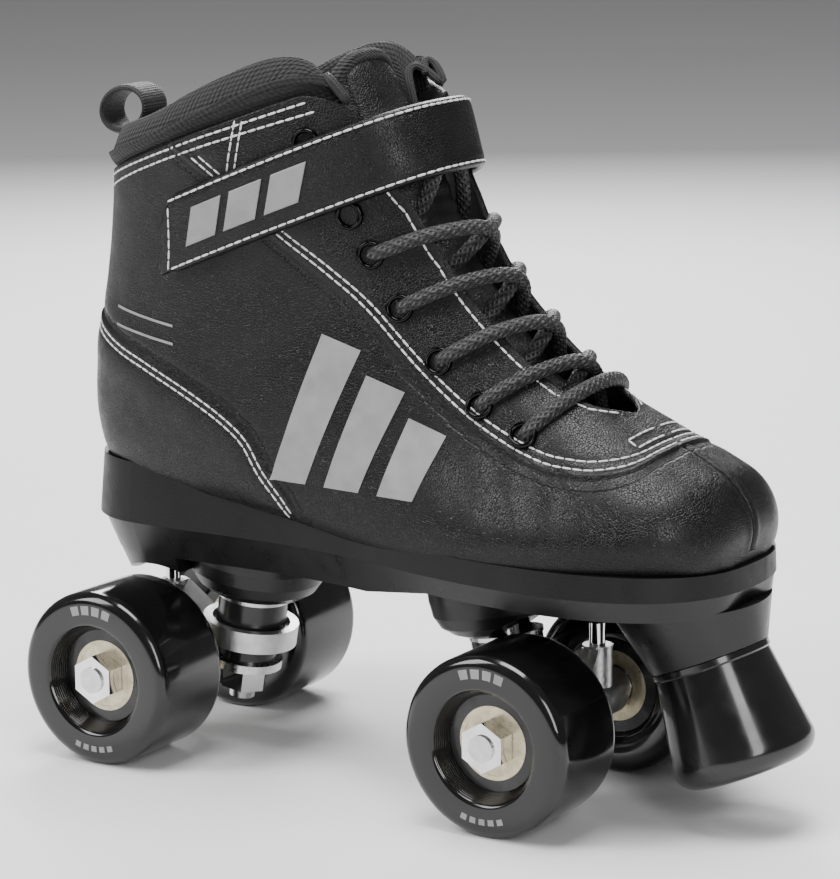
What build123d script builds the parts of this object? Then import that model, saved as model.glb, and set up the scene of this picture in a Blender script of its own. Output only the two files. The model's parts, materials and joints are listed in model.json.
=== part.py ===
from build123d import *
import os
from math import cos, log, pi, radians, sin, tan

# A right-foot quad roller skate: a laced high-top boot on a moulded plate with two steering trucks,
# four wheels on ball bearings, and a toe stop. Millimetres, +X towards the toe, +Y towards the inner
# (left) side, +Z up. Sub-parts are drawn with X = 0 midway between the axles and moved at the end, so
# that the origin lies on the ground under the middle of the skate's length.

# ---------------------------------------------------------------- driving dimensions
ORIGIN_X = 25.0                 # middle of the overall length, from the middle of the wheelbase

WHEEL_RADIUS = 27.0
WHEEL_WIDTH = 32.0
WHEEL_FACE_OUT = 52.9           # |y| of the outer face
WHEEL_EDGE = 3.5
RECESS_RADIUS = 16.8            # mouth of the recess round a bearing
CORE_RADIUS = 14.4
AXLE_X = 69.8                   # half the wheelbase
AXLE_RADIUS = 4.0
AXLE_HALF = 53.6
BEARING_RADIUS = 11.0
BEARING_WIDTH = 7.0
BEARING_OUT = 46.6              # |y| of the outer bearing's outer face
BEARING_IN = 23.5               # |y| of the inner bearing's inner face
BALL_RADIUS = 1.8
BALL_CIRCLE = 7.75
BALLS = 7
AXLE_NUT_FLATS = 13.0

KINGPIN_X = 46.0                # where the kingpin leaves the plate's boss
KINGPIN_Z = 46.4
KINGPIN_TILT = 9.5              # degrees, foot of the kingpin leans towards the axle
KINGPIN_RADIUS = 4.0
KINGPIN_TOP = -18.0             # depths below the boss, along the kingpin
WASHER_DEPTH = 1.3
RING_DEPTH = 12.1
RING_HEIGHT = 6.6
RING_RADIUS = 15.0
RING_BORE = 12.3
RING_FLANGE = 2.0
RING_HOLE = 6.6
LOWER_WASHER_DEPTH = 21.1
LOWER_WASHER_THICK = 2.6
KINGPIN_NUT_END = 31.3
KINGPIN_END = 34.6
CUSHION_RADIUS = 10.9
WASHER_RADIUS = 11.3
PIVOT_X = 77.5
STUD_RADIUS = 2.4
PIVOT_BALL = 3.6

SOLE_BOTTOM = 71.0
TRAY_BOTTOM = 60.0
HEEL_CENTRE = -71.0
HEEL_RADIUS = 27.4
TOE_TIP = 129.5
SOLE_SIDE = [(-45, 27.6), (-20, 27.6), (0, 29.5), (20, 33.5), (42, 38.8), (65, 42.2), (88, 42.4),
             (106, 38.2), (119, 29.8), (126.5, 18.5)]
SOLE_TOP = [(-120, 88), (-50, 88), (-20, 84), (4, 80), (28, 78.5), (90, 78.3), (140, 77)]

STOP_X = 115.0                  # middle of the toe stop's top
STOP_Z = 48.0
STOP_TILT = 22.5
STOP_HEIGHT = 35.0
STOP_TOP_RADIUS = 17.2
STOP_FOOT_RADIUS = 22.4
STOP_EDGE = 6.0

LEATHER = 3.0                   # upper with its lining
COLLAR_THICK = 8.5
TONGUE_DEPTH = 8.0
TONGUE_THICK = 4.5
TONGUE_LEAN = 12.0              # how far the tongue's top leans back into the collar
LACE_RADIUS = 2.2
EYELET_RADIUS = 4.3
EYELET_BORE = 2.75
EYELET_SUNK = 0.5               # the eyelet's rim is pressed into the leather
STRAP_GAP = 2.2
STRAP_THICK = 2.2
STRAP_FRONT = -1.5              # the strap sinks towards the tongue at the front

# The boot is a row of sections that fan round from the toe to the ankle. Each runs from a low (at the
# ankle, rear) point to a high (front) point; half_width is its greatest half width. low_power and
# high_power shape its two ends, and peak is where along it the greatest width lies.
STATIONS = [
    # low x, low z, high x, high z, half_width, low_power, high_power, peak
    (126.0, 72.5, 127.8, 81.0, 11.0, 0.50, 0.60, 0.45),
    (120.5, 72.3, 128.6, 88.0, 22.0, 0.45, 0.62, 0.42),
    (111.5, 72.3, 126.2, 95.0, 30.0, 0.38, 0.66, 0.38),
    (99.0, 72.5, 120.0, 101.8, 37.0, 0.32, 0.72, 0.34),
    (83.0, 72.8, 109.5, 107.2, 41.2, 0.29, 0.80, 0.30),
    (62.0, 73.0, 96.5, 113.0, 42.0, 0.28, 0.90, 0.27),
    (38.0, 73.5, 82.0, 122.0, 39.5, 0.30, 1.00, 0.26),
    (10.0, 75.0, 68.0, 133.0, 36.0, 0.34, 1.00, 0.28),
    (-22.0, 79.0, 56.5, 145.0, 33.5, 0.40, 0.95, 0.32),
    (-57.0, 82.0, 47.0, 156.0, 32.5, 0.50, 0.88, 0.38),
    (-85.0, 86.0, 40.5, 165.5, 32.0, 0.62, 0.80, 0.42),
    (-95.5, 99.0, 36.0, 173.5, 32.0, 0.76, 0.75, 0.46),
    (-96.8, 117.0, 32.5, 180.5, 32.0, 0.84, 0.72, 0.48),
    (-94.6, 137.0, 29.5, 187.5, 32.5, 0.86, 0.70, 0.50),
    (-91.5, 156.5, 27.0, 194.5, 33.5, 0.86, 0.70, 0.50),
    (-89.5, 173.0, 24.5, 201.0, 34.5, 0.84, 0.70, 0.50),
    (-89.0, 186.0, 21.5, 209.0, 34.5, 0.84, 0.70, 0.50),
    (-89.7, 210.0, 15.6, 224.0, 33.0, 0.84, 0.70, 0.50),
]
SECTION_STEPS = 12

# Station and angle (degrees round the section, 0 low and 180 high) of the eyelets, toe end first.
EYELETS = [(6.2, 138), (7.05, 136), (8.05, 136), (9.3, 137), (10.9, 136), (12.3, 132), (14.9, 122)]
LACED_ROWS = 5

THROAT_FOOT = (89.0, 116.0)     # x, z of the toe end of the lacing gap, on the instep
THROAT_HEAD = (23.0, 205.0)
THROAT_SIDE = [(2, 4.5), (7, 10.0), (16, 12.8), (40, 13.8), (66, 14.8), (84, 17.5), (100, 22.5), (130, 27)]
VAMP_SEAM = [(-60, 196), (-35, 181), (-15, 165), (2, 153), (15, 142.5), (32, 127), (51, 114), (71, 105.5), (86, 103), (97, 103.6),
             (104, 106.2), (106.8, 111), (107.6, 118)]
HEEL_SEAM = [(-130, 150), (-84, 131), (-62, 124), (-42, 116), (-25, 106), (-17, 95), (-8, 84), (-4, 70)]
LEATHER_TOP = [(-120, 166), (140, 257.5)]
COLLAR_TOP = [(-110, 184), (-88, 189), (-62, 196.5), (-40, 206), (-24, 212.5), (-12, 216), (-2, 215.5),
              (6, 209), (16, 198)]
STRAP_LOW = 171.0               # height of the strap's lower edge at x = 0
STRAP_HIGH = 194.6
STRAP_SLOPE = 0.4
STRAP_END_X = -52.0
STRAP_ANCHOR_X = -38.0
HINGE = (15.2, -28.3, 188.8)    # where the strap's flap bends, at its outer face
HINGE_RUN = (0.8258, 0.4570, 0.3303)    # the strap's direction there


# ---------------------------------------------------------------- plain shapes
def rod(start, end, radius):
    plane = Plane(origin=start, z_dir=Vector(end) - Vector(start))
    return extrude(plane * Circle(radius), amount=(Vector(end) - Vector(start)).length)


def hex_bar(start, end, flats):
    plane = Plane(origin=start, z_dir=Vector(end) - Vector(start))
    face = plane * RegularPolygon(radius=flats / 2, side_count=6, major_radius=False)
    return extrude(face, amount=(Vector(end) - Vector(start)).length)


def side_slab(points, half_width, smooth=False):
    """A slab of the given half width whose outline in X and Z is a polygon or a closed smooth top."""
    outline = Polyline(*points, close=True)
    if smooth:
        crest = Spline(*points[:-2])
        outline = crest + Polyline(points[-3], points[-2], points[-1], points[0])
    return extrude(Plane.XZ * make_face(outline), amount=half_width, both=True)


def above(profile, half_width=90.0, top=260.0):
    """Everything above a smooth line in X and Z."""
    corners = [(profile[-1][0], top), (profile[0][0], top)]
    return side_slab(list(profile) + corners, half_width, smooth=True)


def below(profile, half_width=90.0, bottom=20.0):
    corners = [(profile[-1][0], bottom), (profile[0][0], bottom)]
    return side_slab(list(profile) + corners, half_width, smooth=True)


def turned(profile, axis=Axis.Z):
    """A solid turned from (radius, height) corners."""
    return revolve(Plane.XZ * make_face(Polyline(*profile, close=True)), axis=axis)


def single(shape):
    """The one solid of a shape that is one piece."""
    solids = shape.solids()
    return max(solids, key=lambda solid: solid.volume)


# ---------------------------------------------------------------- the boot's surface
def blend_row(values, t):
    """Catmull-Rom curve through evenly spaced values."""
    last = len(values) - 1
    i = min(int(t), last - 1)
    u = t - i
    a, b = values[i], values[i + 1]
    before = values[i - 1] if i > 0 else 2 * a - b
    after = values[i + 2] if i + 2 <= last else 2 * b - a
    m0, m1 = (b - before) / 2, (after - a) / 2
    return ((2 * u**3 - 3 * u**2 + 1) * a + (u**3 - 2 * u**2 + u) * m0
            + (3 * u**2 - 2 * u**3) * b + (u**3 - u**2) * m1)


def station(t):
    columns = list(zip(*STATIONS))
    return [blend_row(column, t) for column in columns]


def section_point(t, angle, inset=0.0, front_inset=None, side=-1):
    """A point of the boot's section at station t, moved inwards by inset."""
    low_x, low_z, high_x, high_z, half_width, low_power, high_power, peak = station(t)
    front = inset if front_inset is None else front_inset
    length = ((high_x - low_x)**2 + (high_z - low_z)**2)**0.5
    along_x, along_z = (high_x - low_x) / length, (high_z - low_z) / length
    low_x, low_z = low_x + along_x * inset, low_z + along_z * inset
    high_x, high_z = high_x - along_x * front, high_z - along_z * front
    bulge = max(sin(angle), 0.0)**(low_power if angle < pi / 2 else high_power)
    reach = ((1 - cos(angle)) / 2)**(log(peak) / log(0.5))
    x = low_x + (high_x - low_x) * reach
    z = low_z + (high_z - low_z) * reach
    return Vector(x, side * (half_width - inset) * bulge, z)


def on_boot(t, angle_deg, height=0.0, side=-1):
    """A point at a height above the boot's surface, and the outward normal there."""
    angle = radians(angle_deg)
    here = section_point(t, angle, side=side)
    along = section_point(t + 0.05, angle, side=side) - section_point(t - 0.05, angle, side=side)
    around = section_point(t, angle + 0.03, side=side) - section_point(t, angle - 0.03, side=side)
    normal = along.cross(around).normalized() * side
    return here + normal * height, normal


def section_wire(t, inset, front_inset):
    angles = [pi * k / SECTION_STEPS for k in range(SECTION_STEPS + 1)]
    outer = [section_point(t, a, inset, front_inset, side=-1) for a in angles]
    inner = [section_point(t, a, inset, front_inset, side=1) for a in reversed(angles[1:-1])]
    return Wire([Spline(*(outer + inner), periodic=True)])


def boot_form(inset=0.0, front_inset=None, first=0, overrun=0.0, lean=0.0):
    """The boot's form as one solid, moved inwards by inset all round and a little longer by overrun.

    front_inset is the inset at the front, if it differs, and lean is what it gains up to the top.
    """
    last = len(STATIONS) - 1
    steps = [first - overrun] + list(range(first + 1, last)) + [last + overrun]
    front = inset if front_inset is None else front_inset
    wires = [section_wire(t, inset, front + lean * (max(0.0, t - 13.5) / 3.5)**1.5) for t in steps]
    return Solid.make_loft(wires)


def throat_cutter(widen=0.0):
    """The lacing gap as a prism that stands square on the instep."""
    foot = Vector(THROAT_FOOT[0], 0, THROAT_FOOT[1])
    head = Vector(THROAT_HEAD[0], 0, THROAT_HEAD[1])
    plane = Plane(origin=foot, x_dir=head - foot, z_dir=Vector(0, 1, 0).cross(head - foot))
    side = [(s, max(w, widen)) for s, w in THROAT_SIDE]
    start = (0.0 if widen == 0 else -3.0, 0)
    far = [(s, -w) for s, w in reversed(side)]
    curve = Spline(*(far + [start] + side))
    face = make_face(curve + Line(side[-1], far[0]))
    return extrude(plane * face, amount=34, both=True)


# ---------------------------------------------------------------- boot
def make_upper():
    """Facing, quarters with toe, and heel counter: one stitched shell cut along its seams."""
    shell = boot_form() - boot_form(LEATHER, first=1, overrun=0.1)
    shell = shell & above(SOLE_TOP)
    shell = shell & below(LEATHER_TOP)
    shell = shell - throat_cutter()
    for row in EYELETS:
        for side in (-1, 1):
            place, normal = on_boot(*row, side=side)
            hole = rod(place - normal * 8, place + normal * 6, EYELET_BORE + 0.5)
            shell = shell - hole - rod(place - normal * EYELET_SUNK, place + normal * 6, EYELET_RADIUS + 0.1)
    facing_region = above(VAMP_SEAM)
    heel_region = below(HEEL_SEAM)
    facing = shell & facing_region
    rest = shell - facing_region
    heel = rest & heel_region
    sides = rest - heel_region
    return {"upper_facing": facing, "upper_vamp": single(sides), "heel_counter": single(heel)}


def make_eyelets():
    rings = []
    for row in EYELETS:
        for side in (-1, 1):
            place, normal = on_boot(*row, side=side)
            flange = rod(place - normal * EYELET_SUNK, place + normal * 0.3, EYELET_RADIUS)
            barrel = rod(place - normal * (LEATHER + 0.5), place, EYELET_BORE + 0.4)
            bore = rod(place - normal * 9, place + normal * 9, EYELET_BORE)
            rings.append(flange + barrel - bore)
    return Compound(rings)


def make_collar():
    ring = boot_form(LEATHER + 0.2, first=11) - boot_form(LEATHER + COLLAR_THICK, first=10, overrun=0.1)
    ring = ring & below(COLLAR_TOP)
    floor = [(x, z - 34) for x, z in LEATHER_TOP]
    ring = ring & above(floor)
    return single(ring - throat_cutter(widen=22.5))


def make_tongue():
    sheet = (boot_form(TONGUE_DEPTH, first=4, lean=TONGUE_LEAN)
             - boot_form(TONGUE_DEPTH + TONGUE_THICK, first=3, overrun=0.1, lean=TONGUE_LEAN))
    region = side_slab([(98, 119), (44, 190), (24, 219.5), (-12, 219.5), (2, 190), (34, 146), (78, 96)], 17.5)
    return single(sheet & Pos(0, -3, 0) * region)


def make_insole():
    floor = [(x, z + 4.0) for x, z in SOLE_TOP]
    pad = boot_form(LEATHER + 0.8, first=1) & above(SOLE_TOP)
    return single(pad & below(floor))


def strap_band(gap, thick):
    band = (boot_form(-(gap + thick), -(gap + thick + STRAP_FRONT), first=9)
            - boot_form(-gap, -(gap + STRAP_FRONT), first=9, overrun=0.1))
    x_low, x_high = -80.0, 60.0
    low = [(x, STRAP_LOW + STRAP_SLOPE * x) for x in (x_low, x_high)]
    high = [(x, STRAP_HIGH + STRAP_SLOPE * x) for x in (x_high, x_low)]
    return band & side_slab(low + high, 60)


def strap_tip(inset=0.0):
    """The rounded outline of the strap's free end, seen from the side."""
    along = [(STRAP_END_X + inset, -200), (60, -200), (60, 400), (STRAP_END_X + inset, 400)]
    box = side_slab(along, 60)
    corner_x = STRAP_END_X + inset + 7
    corner_z = STRAP_HIGH + STRAP_SLOPE * corner_x - 8.5
    block = side_slab([(STRAP_END_X - 6, corner_z), (corner_x, corner_z), (corner_x, corner_z + 16),
                       (STRAP_END_X - 6, corner_z + 16)], 60)
    round_end = rod((corner_x, -60, corner_z), (corner_x, 60, corner_z), 7)
    return box - (block - round_end)


def hinge_plane():
    return Plane(origin=HINGE, z_dir=HINGE_RUN)


def make_strap():
    """The strap in two bodies: the part sewn to the inner side, and the flap that opens."""
    band = strap_band(STRAP_GAP, STRAP_THICK)
    plane = hinge_plane()
    behind = extrude(plane * Rectangle(400, 400), amount=-200)
    ahead = extrude(plane.offset(0.3) * Rectangle(400, 400), amount=200)
    outer_side = Pos(0, -50, 190) * Box(200, 100, 120)
    inner_side = Pos(0, 50, 190) * Box(200, 100, 120)
    inner_end = side_slab([(STRAP_ANCHOR_X, 100), (80, 100), (80, 260), (STRAP_ANCHOR_X, 260)], 60)
    flap = single((band & outer_side & behind) & strap_tip())
    base = single((band & outer_side & ahead) + (band & inner_side & inner_end))
    hook = strap_band(0.3, 0.6) & outer_side & pad_region(-48.0, -14.0)
    loop = strap_band(1.1, STRAP_GAP - 1.1) & outer_side & pad_region(-47.0, -20.0)
    return {"strap_flap": flap, "strap_base": base, "hook_pad": single(hook), "loop_pad": single(loop)}


def pad_region(rear, front):
    margin = 3.0
    corners = [(x, STRAP_LOW + margin + STRAP_SLOPE * x) for x in (rear, front)]
    corners += [(x, STRAP_HIGH - margin + STRAP_SLOPE * x) for x in (front, rear)]
    return side_slab(corners, 60)


def make_pull_loop():
    centre = Plane(origin=(-88.5, 0, 195.8), x_dir=(1, 0, 0.35), z_dir=(0, -1, 0))
    ring = centre * (Ellipse(9.4, 7.4) - Ellipse(7.5, 5.5))
    return extrude(ring, amount=6.5, both=True)


def lace_half(first_side):
    """The lace from an eyelet of the lowest row up to its tucked end, swapping sides at each row."""
    points = []
    side = first_side
    for row in range(LACED_ROWS):
        t, angle = EYELETS[row]
        outer, normal = on_boot(t, angle, side=side)
        points.append(outer + normal * 3.1)
        points.append(outer - normal * 5.6)
        if row == LACED_ROWS - 1:
            points.append(on_boot(t + 0.3, 156, -5.0, side)[0])
            points.append(on_boot(t + 1.9, 174, -3.0, side)[0])
            break
        t_next, angle_next = EYELETS[row + 1]
        step = t_next - t
        on_top = side > 0
        points.append(on_boot(t + 0.15 * step, 155, -5.4, side)[0])
        points.append(on_boot(t + 0.5 * step, 180, 4.9 if on_top else 0.2, side)[0])
        side = -side
        points.append(on_boot(t + 0.85 * step, 157, 3.2, side)[0])
    return points


def lace_radii(points):
    radii = []
    for before, corner, after in zip(points, points[1:], points[2:]):
        turn = radians((corner - before).get_angle(after - corner))
        shorter = min((corner - before).length, (after - corner).length)
        radii.append(min(0.45 * shorter / tan(turn / 2), 40.0))
    return radii


def make_lace():
    inner_half = lace_half(1)
    outer_half = lace_half(-1)
    bar = [on_boot(EYELETS[0][0], 165, 4.0, side)[0] for side in (1, -1)]
    points = list(reversed(inner_half)) + bar + outer_half
    radii = lace_radii(points)
    path = FilletPolyline(*points, radius=radii)
    section = Plane(origin=path @ 0, z_dir=path % 0) * Circle(LACE_RADIUS)
    lace = sweep(section, path=path)
    return single(lace)


# ---------------------------------------------------------------- sole and plate
def sole_face(inset, height):
    """The sole's outline, moved inwards by inset, at a height."""
    radius = HEEL_RADIUS - inset
    heel = CenterArc((HEEL_CENTRE, 0), radius, 95, 170)
    side = [(x, w - inset) for x, w in SOLE_SIDE]
    start = heel @ 0
    far = [(x, -w) for x, w in reversed(side)]
    route = [(start.X, start.Y)] + side + [(TOE_TIP - inset, 0)] + far + [(start.X, -start.Y)]
    edge = Spline(*route, tangents=[(1, 0.09), (-1, 0.09)])
    return Pos(0, 0, height) * make_face(heel + edge)


def make_outsole():
    block = loft([sole_face(0.0, SOLE_BOTTOM), sole_face(2.0, 94.0)])
    return single(block & below(SOLE_TOP))


def kingpin_plane(end):
    lean = radians(KINGPIN_TILT)
    return Plane(origin=(end * KINGPIN_X, 0, KINGPIN_Z), x_dir=(0, 1, 0), z_dir=(end * sin(lean), 0, -cos(lean)))


def on_kingpin(end, depth):
    plane = kingpin_plane(end)
    return plane.origin + plane.z_dir * depth


def pivot_point(end):
    """The ball of the pivot, level with the steering axis that rises at 45 degrees from the ring."""
    ring = on_kingpin(end, RING_DEPTH)
    return Vector(end * PIVOT_X, 0, ring.Z + PIVOT_X - abs(ring.X))


def kingpin_boss(end):
    bowl = [(0, 0), (12, 0), (16, -1.6), (19.2, -4.0), (21.0, -7.5), (21.6, -12), (21.6, -18), (0, -18)]
    return kingpin_plane(end) * turned(bowl)


def stop_plane():
    lean = radians(STOP_TILT)
    return Plane(origin=(STOP_X, 0, STOP_Z), x_dir=(0, 1, 0), z_dir=(sin(lean), 0, -cos(lean)))


def make_plate():
    tray = loft([sole_face(5.6, TRAY_BOTTOM), sole_face(1.2, SOLE_BOTTOM)])
    tray = tray - side_slab([(8, 59), (40, 64.5), (140, 64.5), (140, 40), (8, 40)], 60)
    heel_block = loft([sole_face(11.0, 47.5), sole_face(5.6, TRAY_BOTTOM + 0.5)])
    heel_block = heel_block & (Pos(-90, 0, 55) * Box(60, 80, 40))
    nose = loft([stop_plane().offset(-0.3) * Circle(STOP_TOP_RADIUS + 0.6),
                 Pos(107.0, 0, 66) * Ellipse(23.4, 29.5)])
    plate = tray + heel_block + nose
    for end in (-1, 1):
        plate = plate + kingpin_boss(end)
        plate = plate + rod((end * PIVOT_X, 0, TRAY_BOTTOM), (end * PIVOT_X, 0, 70), 10)
        plate = plate - rod((end * AXLE_X, -60, 27), (end * AXLE_X, 60, 27), 29.6)
        plate = plate - rod((end * PIVOT_X, 0, 40), (end * PIVOT_X, 0, TRAY_BOTTOM), 9.0)
        plate = plate - rod((end * PIVOT_X, 0, 50), (end * PIVOT_X, 0, 70), 6.3)
        plate = plate - rod(on_kingpin(end, KINGPIN_TOP - 12), on_kingpin(end, 2), KINGPIN_RADIUS)
        plate = plate - hex_bar(on_kingpin(end, KINGPIN_TOP - 12), on_kingpin(end, KINGPIN_TOP), 13.0)
    for place in SCREW_PLACES:
        plate = plate - screw(place, 0.0)
    lean = stop_plane().z_dir
    stem_top = stop_plane().origin - lean * 16
    plate = plate - rod(stem_top, stop_plane().origin + lean * 5, 4.0)
    return single(plate)


SCREW_TOP = 76.5
SCREW_PLACES = [(-20, 12), (-20, -12), (16, 12), (16, -12), (-92, 0), (122, 0)]


def screw(place, clearance):
    """A countersunk screw from below the plate into the sole."""
    x, y = place
    bottom = TRAY_BOTTOM + 0.6 if x < 100 else 64.5
    if abs(x) > 80:
        bottom = 66.0
    head = Pos(x, y, bottom + 1.0) * Cone(4.0, 2.0, 2.0)
    shank = rod((x, y, bottom + 1.5), (x, y, SCREW_TOP), 2.0)
    access = rod((x, y, 20), (x, y, bottom), 4.0)
    return head + shank + access if clearance == 0.0 else head + shank


def make_screws():
    return Compound([single(screw(place, 1.0)) for place in SCREW_PLACES])


def make_toe_stop():
    side = [(0, 0), (STOP_TOP_RADIUS + 0.5, 0), (STOP_TOP_RADIUS + 0.5, 1.6), (STOP_TOP_RADIUS, 2.2),
            (STOP_FOOT_RADIUS, STOP_HEIGHT), (0, STOP_HEIGHT)]
    body = turned(side)
    foot_edge = body.edges().sort_by(Axis.Z)[-1]
    body = fillet(foot_edge, STOP_EDGE)
    recess = STOP_HEIGHT - 13
    washer_top = recess + 1.5
    body = body - rod((0, 0, recess), (0, 0, STOP_HEIGHT + 1), 9.0)
    body = body - rod((0, 0, -1), (0, 0, STOP_HEIGHT), 4.0)
    bolt = rod((0, 0, -16), (0, 0, washer_top + 1), 4.0) + hex_bar((0, 0, washer_top), (0, 0, washer_top + 5.3), 13.0)
    washer = rod((0, 0, recess), (0, 0, washer_top), 8.4) - rod((0, 0, recess - 1), (0, 0, washer_top + 1), 4.0)
    plane = stop_plane()
    return {"toe_stop": plane * body, "toe_stop_bolt": plane * bolt, "toe_stop_washer": plane * washer}


# ---------------------------------------------------------------- trucks
def disc(end, start, stop, radius, bore):
    ring = rod(on_kingpin(end, start), on_kingpin(end, stop), radius)
    return ring - rod(on_kingpin(end, start - 1), on_kingpin(end, stop + 1), bore)


def make_kingpin_stack(end):
    """What hangs on one kingpin, all fixed to the plate."""
    flange_top = RING_DEPTH - RING_FLANGE / 2
    flange_foot = RING_DEPTH + RING_FLANGE / 2
    washer_foot = LOWER_WASHER_DEPTH + LOWER_WASHER_THICK
    pin = rod(on_kingpin(end, KINGPIN_TOP), on_kingpin(end, KINGPIN_END), KINGPIN_RADIUS)
    head = hex_bar(on_kingpin(end, KINGPIN_TOP - 4), on_kingpin(end, KINGPIN_TOP), 13.0)
    nut = hex_bar(on_kingpin(end, washer_foot), on_kingpin(end, KINGPIN_NUT_END), 13.0)
    nut = nut - rod(on_kingpin(end, 15), on_kingpin(end, 40), KINGPIN_RADIUS)
    lower_cushion = disc(end, flange_foot + 0.15, LOWER_WASHER_DEPTH, CUSHION_RADIUS - 1.6, KINGPIN_RADIUS)
    return {
        "kingpin": single(pin + head),
        "upper_washer": disc(end, 0, WASHER_DEPTH, WASHER_RADIUS, KINGPIN_RADIUS),
        "upper_cushion": disc(end, WASHER_DEPTH, flange_top - 0.15, CUSHION_RADIUS, KINGPIN_RADIUS),
        "lower_cushion": lower_cushion,
        "lower_washer": disc(end, LOWER_WASHER_DEPTH, washer_foot, WASHER_RADIUS, KINGPIN_RADIUS),
        "kingpin_nut": nut,
        "pivot_cup": make_pivot_cup(end),
    }


def make_pivot_cup(end):
    ball = pivot_point(end)
    cup = rod((ball.X, 0, TRAY_BOTTOM + 0.3), (ball.X, 0, 69.8), 6.2)
    cup = cup - rod((ball.X, 0, 50), ball, PIVOT_BALL + 0.15)
    return cup - Pos(*ball) * Sphere(PIVOT_BALL + 0.15)


def make_hanger(end):
    """The cast truck: axle tube, ring round the kingpin, web between them and the pivot arm."""
    ring = rod(on_kingpin(end, RING_DEPTH - RING_HEIGHT / 2), on_kingpin(end, RING_DEPTH + RING_HEIGHT / 2),
               RING_RADIUS)
    axle = (end * AXLE_X, 27)
    tube = rod((axle[0], -19.5, 27), (axle[0], 19.5, 27), 7.6)
    tube = tube + rod((axle[0], -BEARING_IN, 27), (axle[0], BEARING_IN, 27), 5.7)
    arm = side_slab([(end * 60.5, 36), (end * 61, 32.5), (end * 67, 24), (end * 74, 24), (end * 80.5, 46),
                     (end * 74.5, 46)], 4.5)
    arm_top = rod((end * PIVOT_X, 0, 34), (end * PIVOT_X, 0, 46.5), 4.4)
    web_plane = Plane(origin=(end * 48.0, 0, 34.6), x_dir=(end * 21.8, 0, -6.0), z_dir=(end * 6.0, 0, 21.8))
    web = extrude(web_plane * make_face(Polyline((6, -13.2), (22.4, -18), (22.4, 18), (6, 13.2), close=True)),
                  amount=2.2, both=True)
    hanger = ring + tube + arm + arm_top + web
    bores = ((RING_DEPTH - 9, RING_DEPTH - RING_FLANGE / 2, RING_BORE),
             (RING_DEPTH + RING_FLANGE / 2, RING_DEPTH + 9, RING_BORE),
             (RING_DEPTH - 9, RING_DEPTH + 9, RING_HOLE))
    for start, stop, radius in bores:
        hanger = hanger - rod(on_kingpin(end, start), on_kingpin(end, stop), radius)
    hanger = hanger - rod((axle[0], -60, 27), (axle[0], 60, 27), AXLE_RADIUS)
    hanger = hanger - rod((end * PIVOT_X, 0, 39), (end * PIVOT_X, 0, 50), STUD_RADIUS)
    return single(hanger)


def make_pivot_stud(end):
    ball = pivot_point(end)
    stud = rod((ball.X, 0, 39), (ball.X, 0, 55), STUD_RADIUS)
    stud = stud + hex_bar((ball.X, 0, 53.8), (ball.X, 0, 59.4), 8.5)
    stud = stud + rod((ball.X, 0, 59), (ball.X, 0, ball.Z), 3.0)
    return single(stud + Pos(*ball) * Sphere(PIVOT_BALL))


def ring_y(x, y_from, y_to, radius, bore):
    low, high = min(y_from, y_to), max(y_from, y_to)
    ring = rod((x, low, 27), (x, high, 27), radius)
    return ring - rod((x, low - 1, 27), (x, high + 1, 27), bore)


def make_truck(end):
    x = end * AXLE_X
    nuts = []
    rings = []
    for side in (-1, 1):
        nut = hex_bar((x, side * BEARING_OUT, 27), (x, side * (AXLE_HALF - 0.8), 27), AXLE_NUT_FLATS)
        nuts.append(nut - rod((x, -60, 27), (x, 60, 27), AXLE_RADIUS))
        for start in (BEARING_IN, BEARING_OUT - BEARING_WIDTH):
            rings.append(ring_y(x, side * start, side * (start + BEARING_WIDTH), 5.9, AXLE_RADIUS))
    return {
        "hanger": make_hanger(end),
        "axle": rod((x, -AXLE_HALF, 27), (x, AXLE_HALF, 27), AXLE_RADIUS),
        "pivot_stud": make_pivot_stud(end),
        "axle_nuts": Compound(nuts),
        "bearing_inner_rings": Compound(rings),
    }


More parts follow.
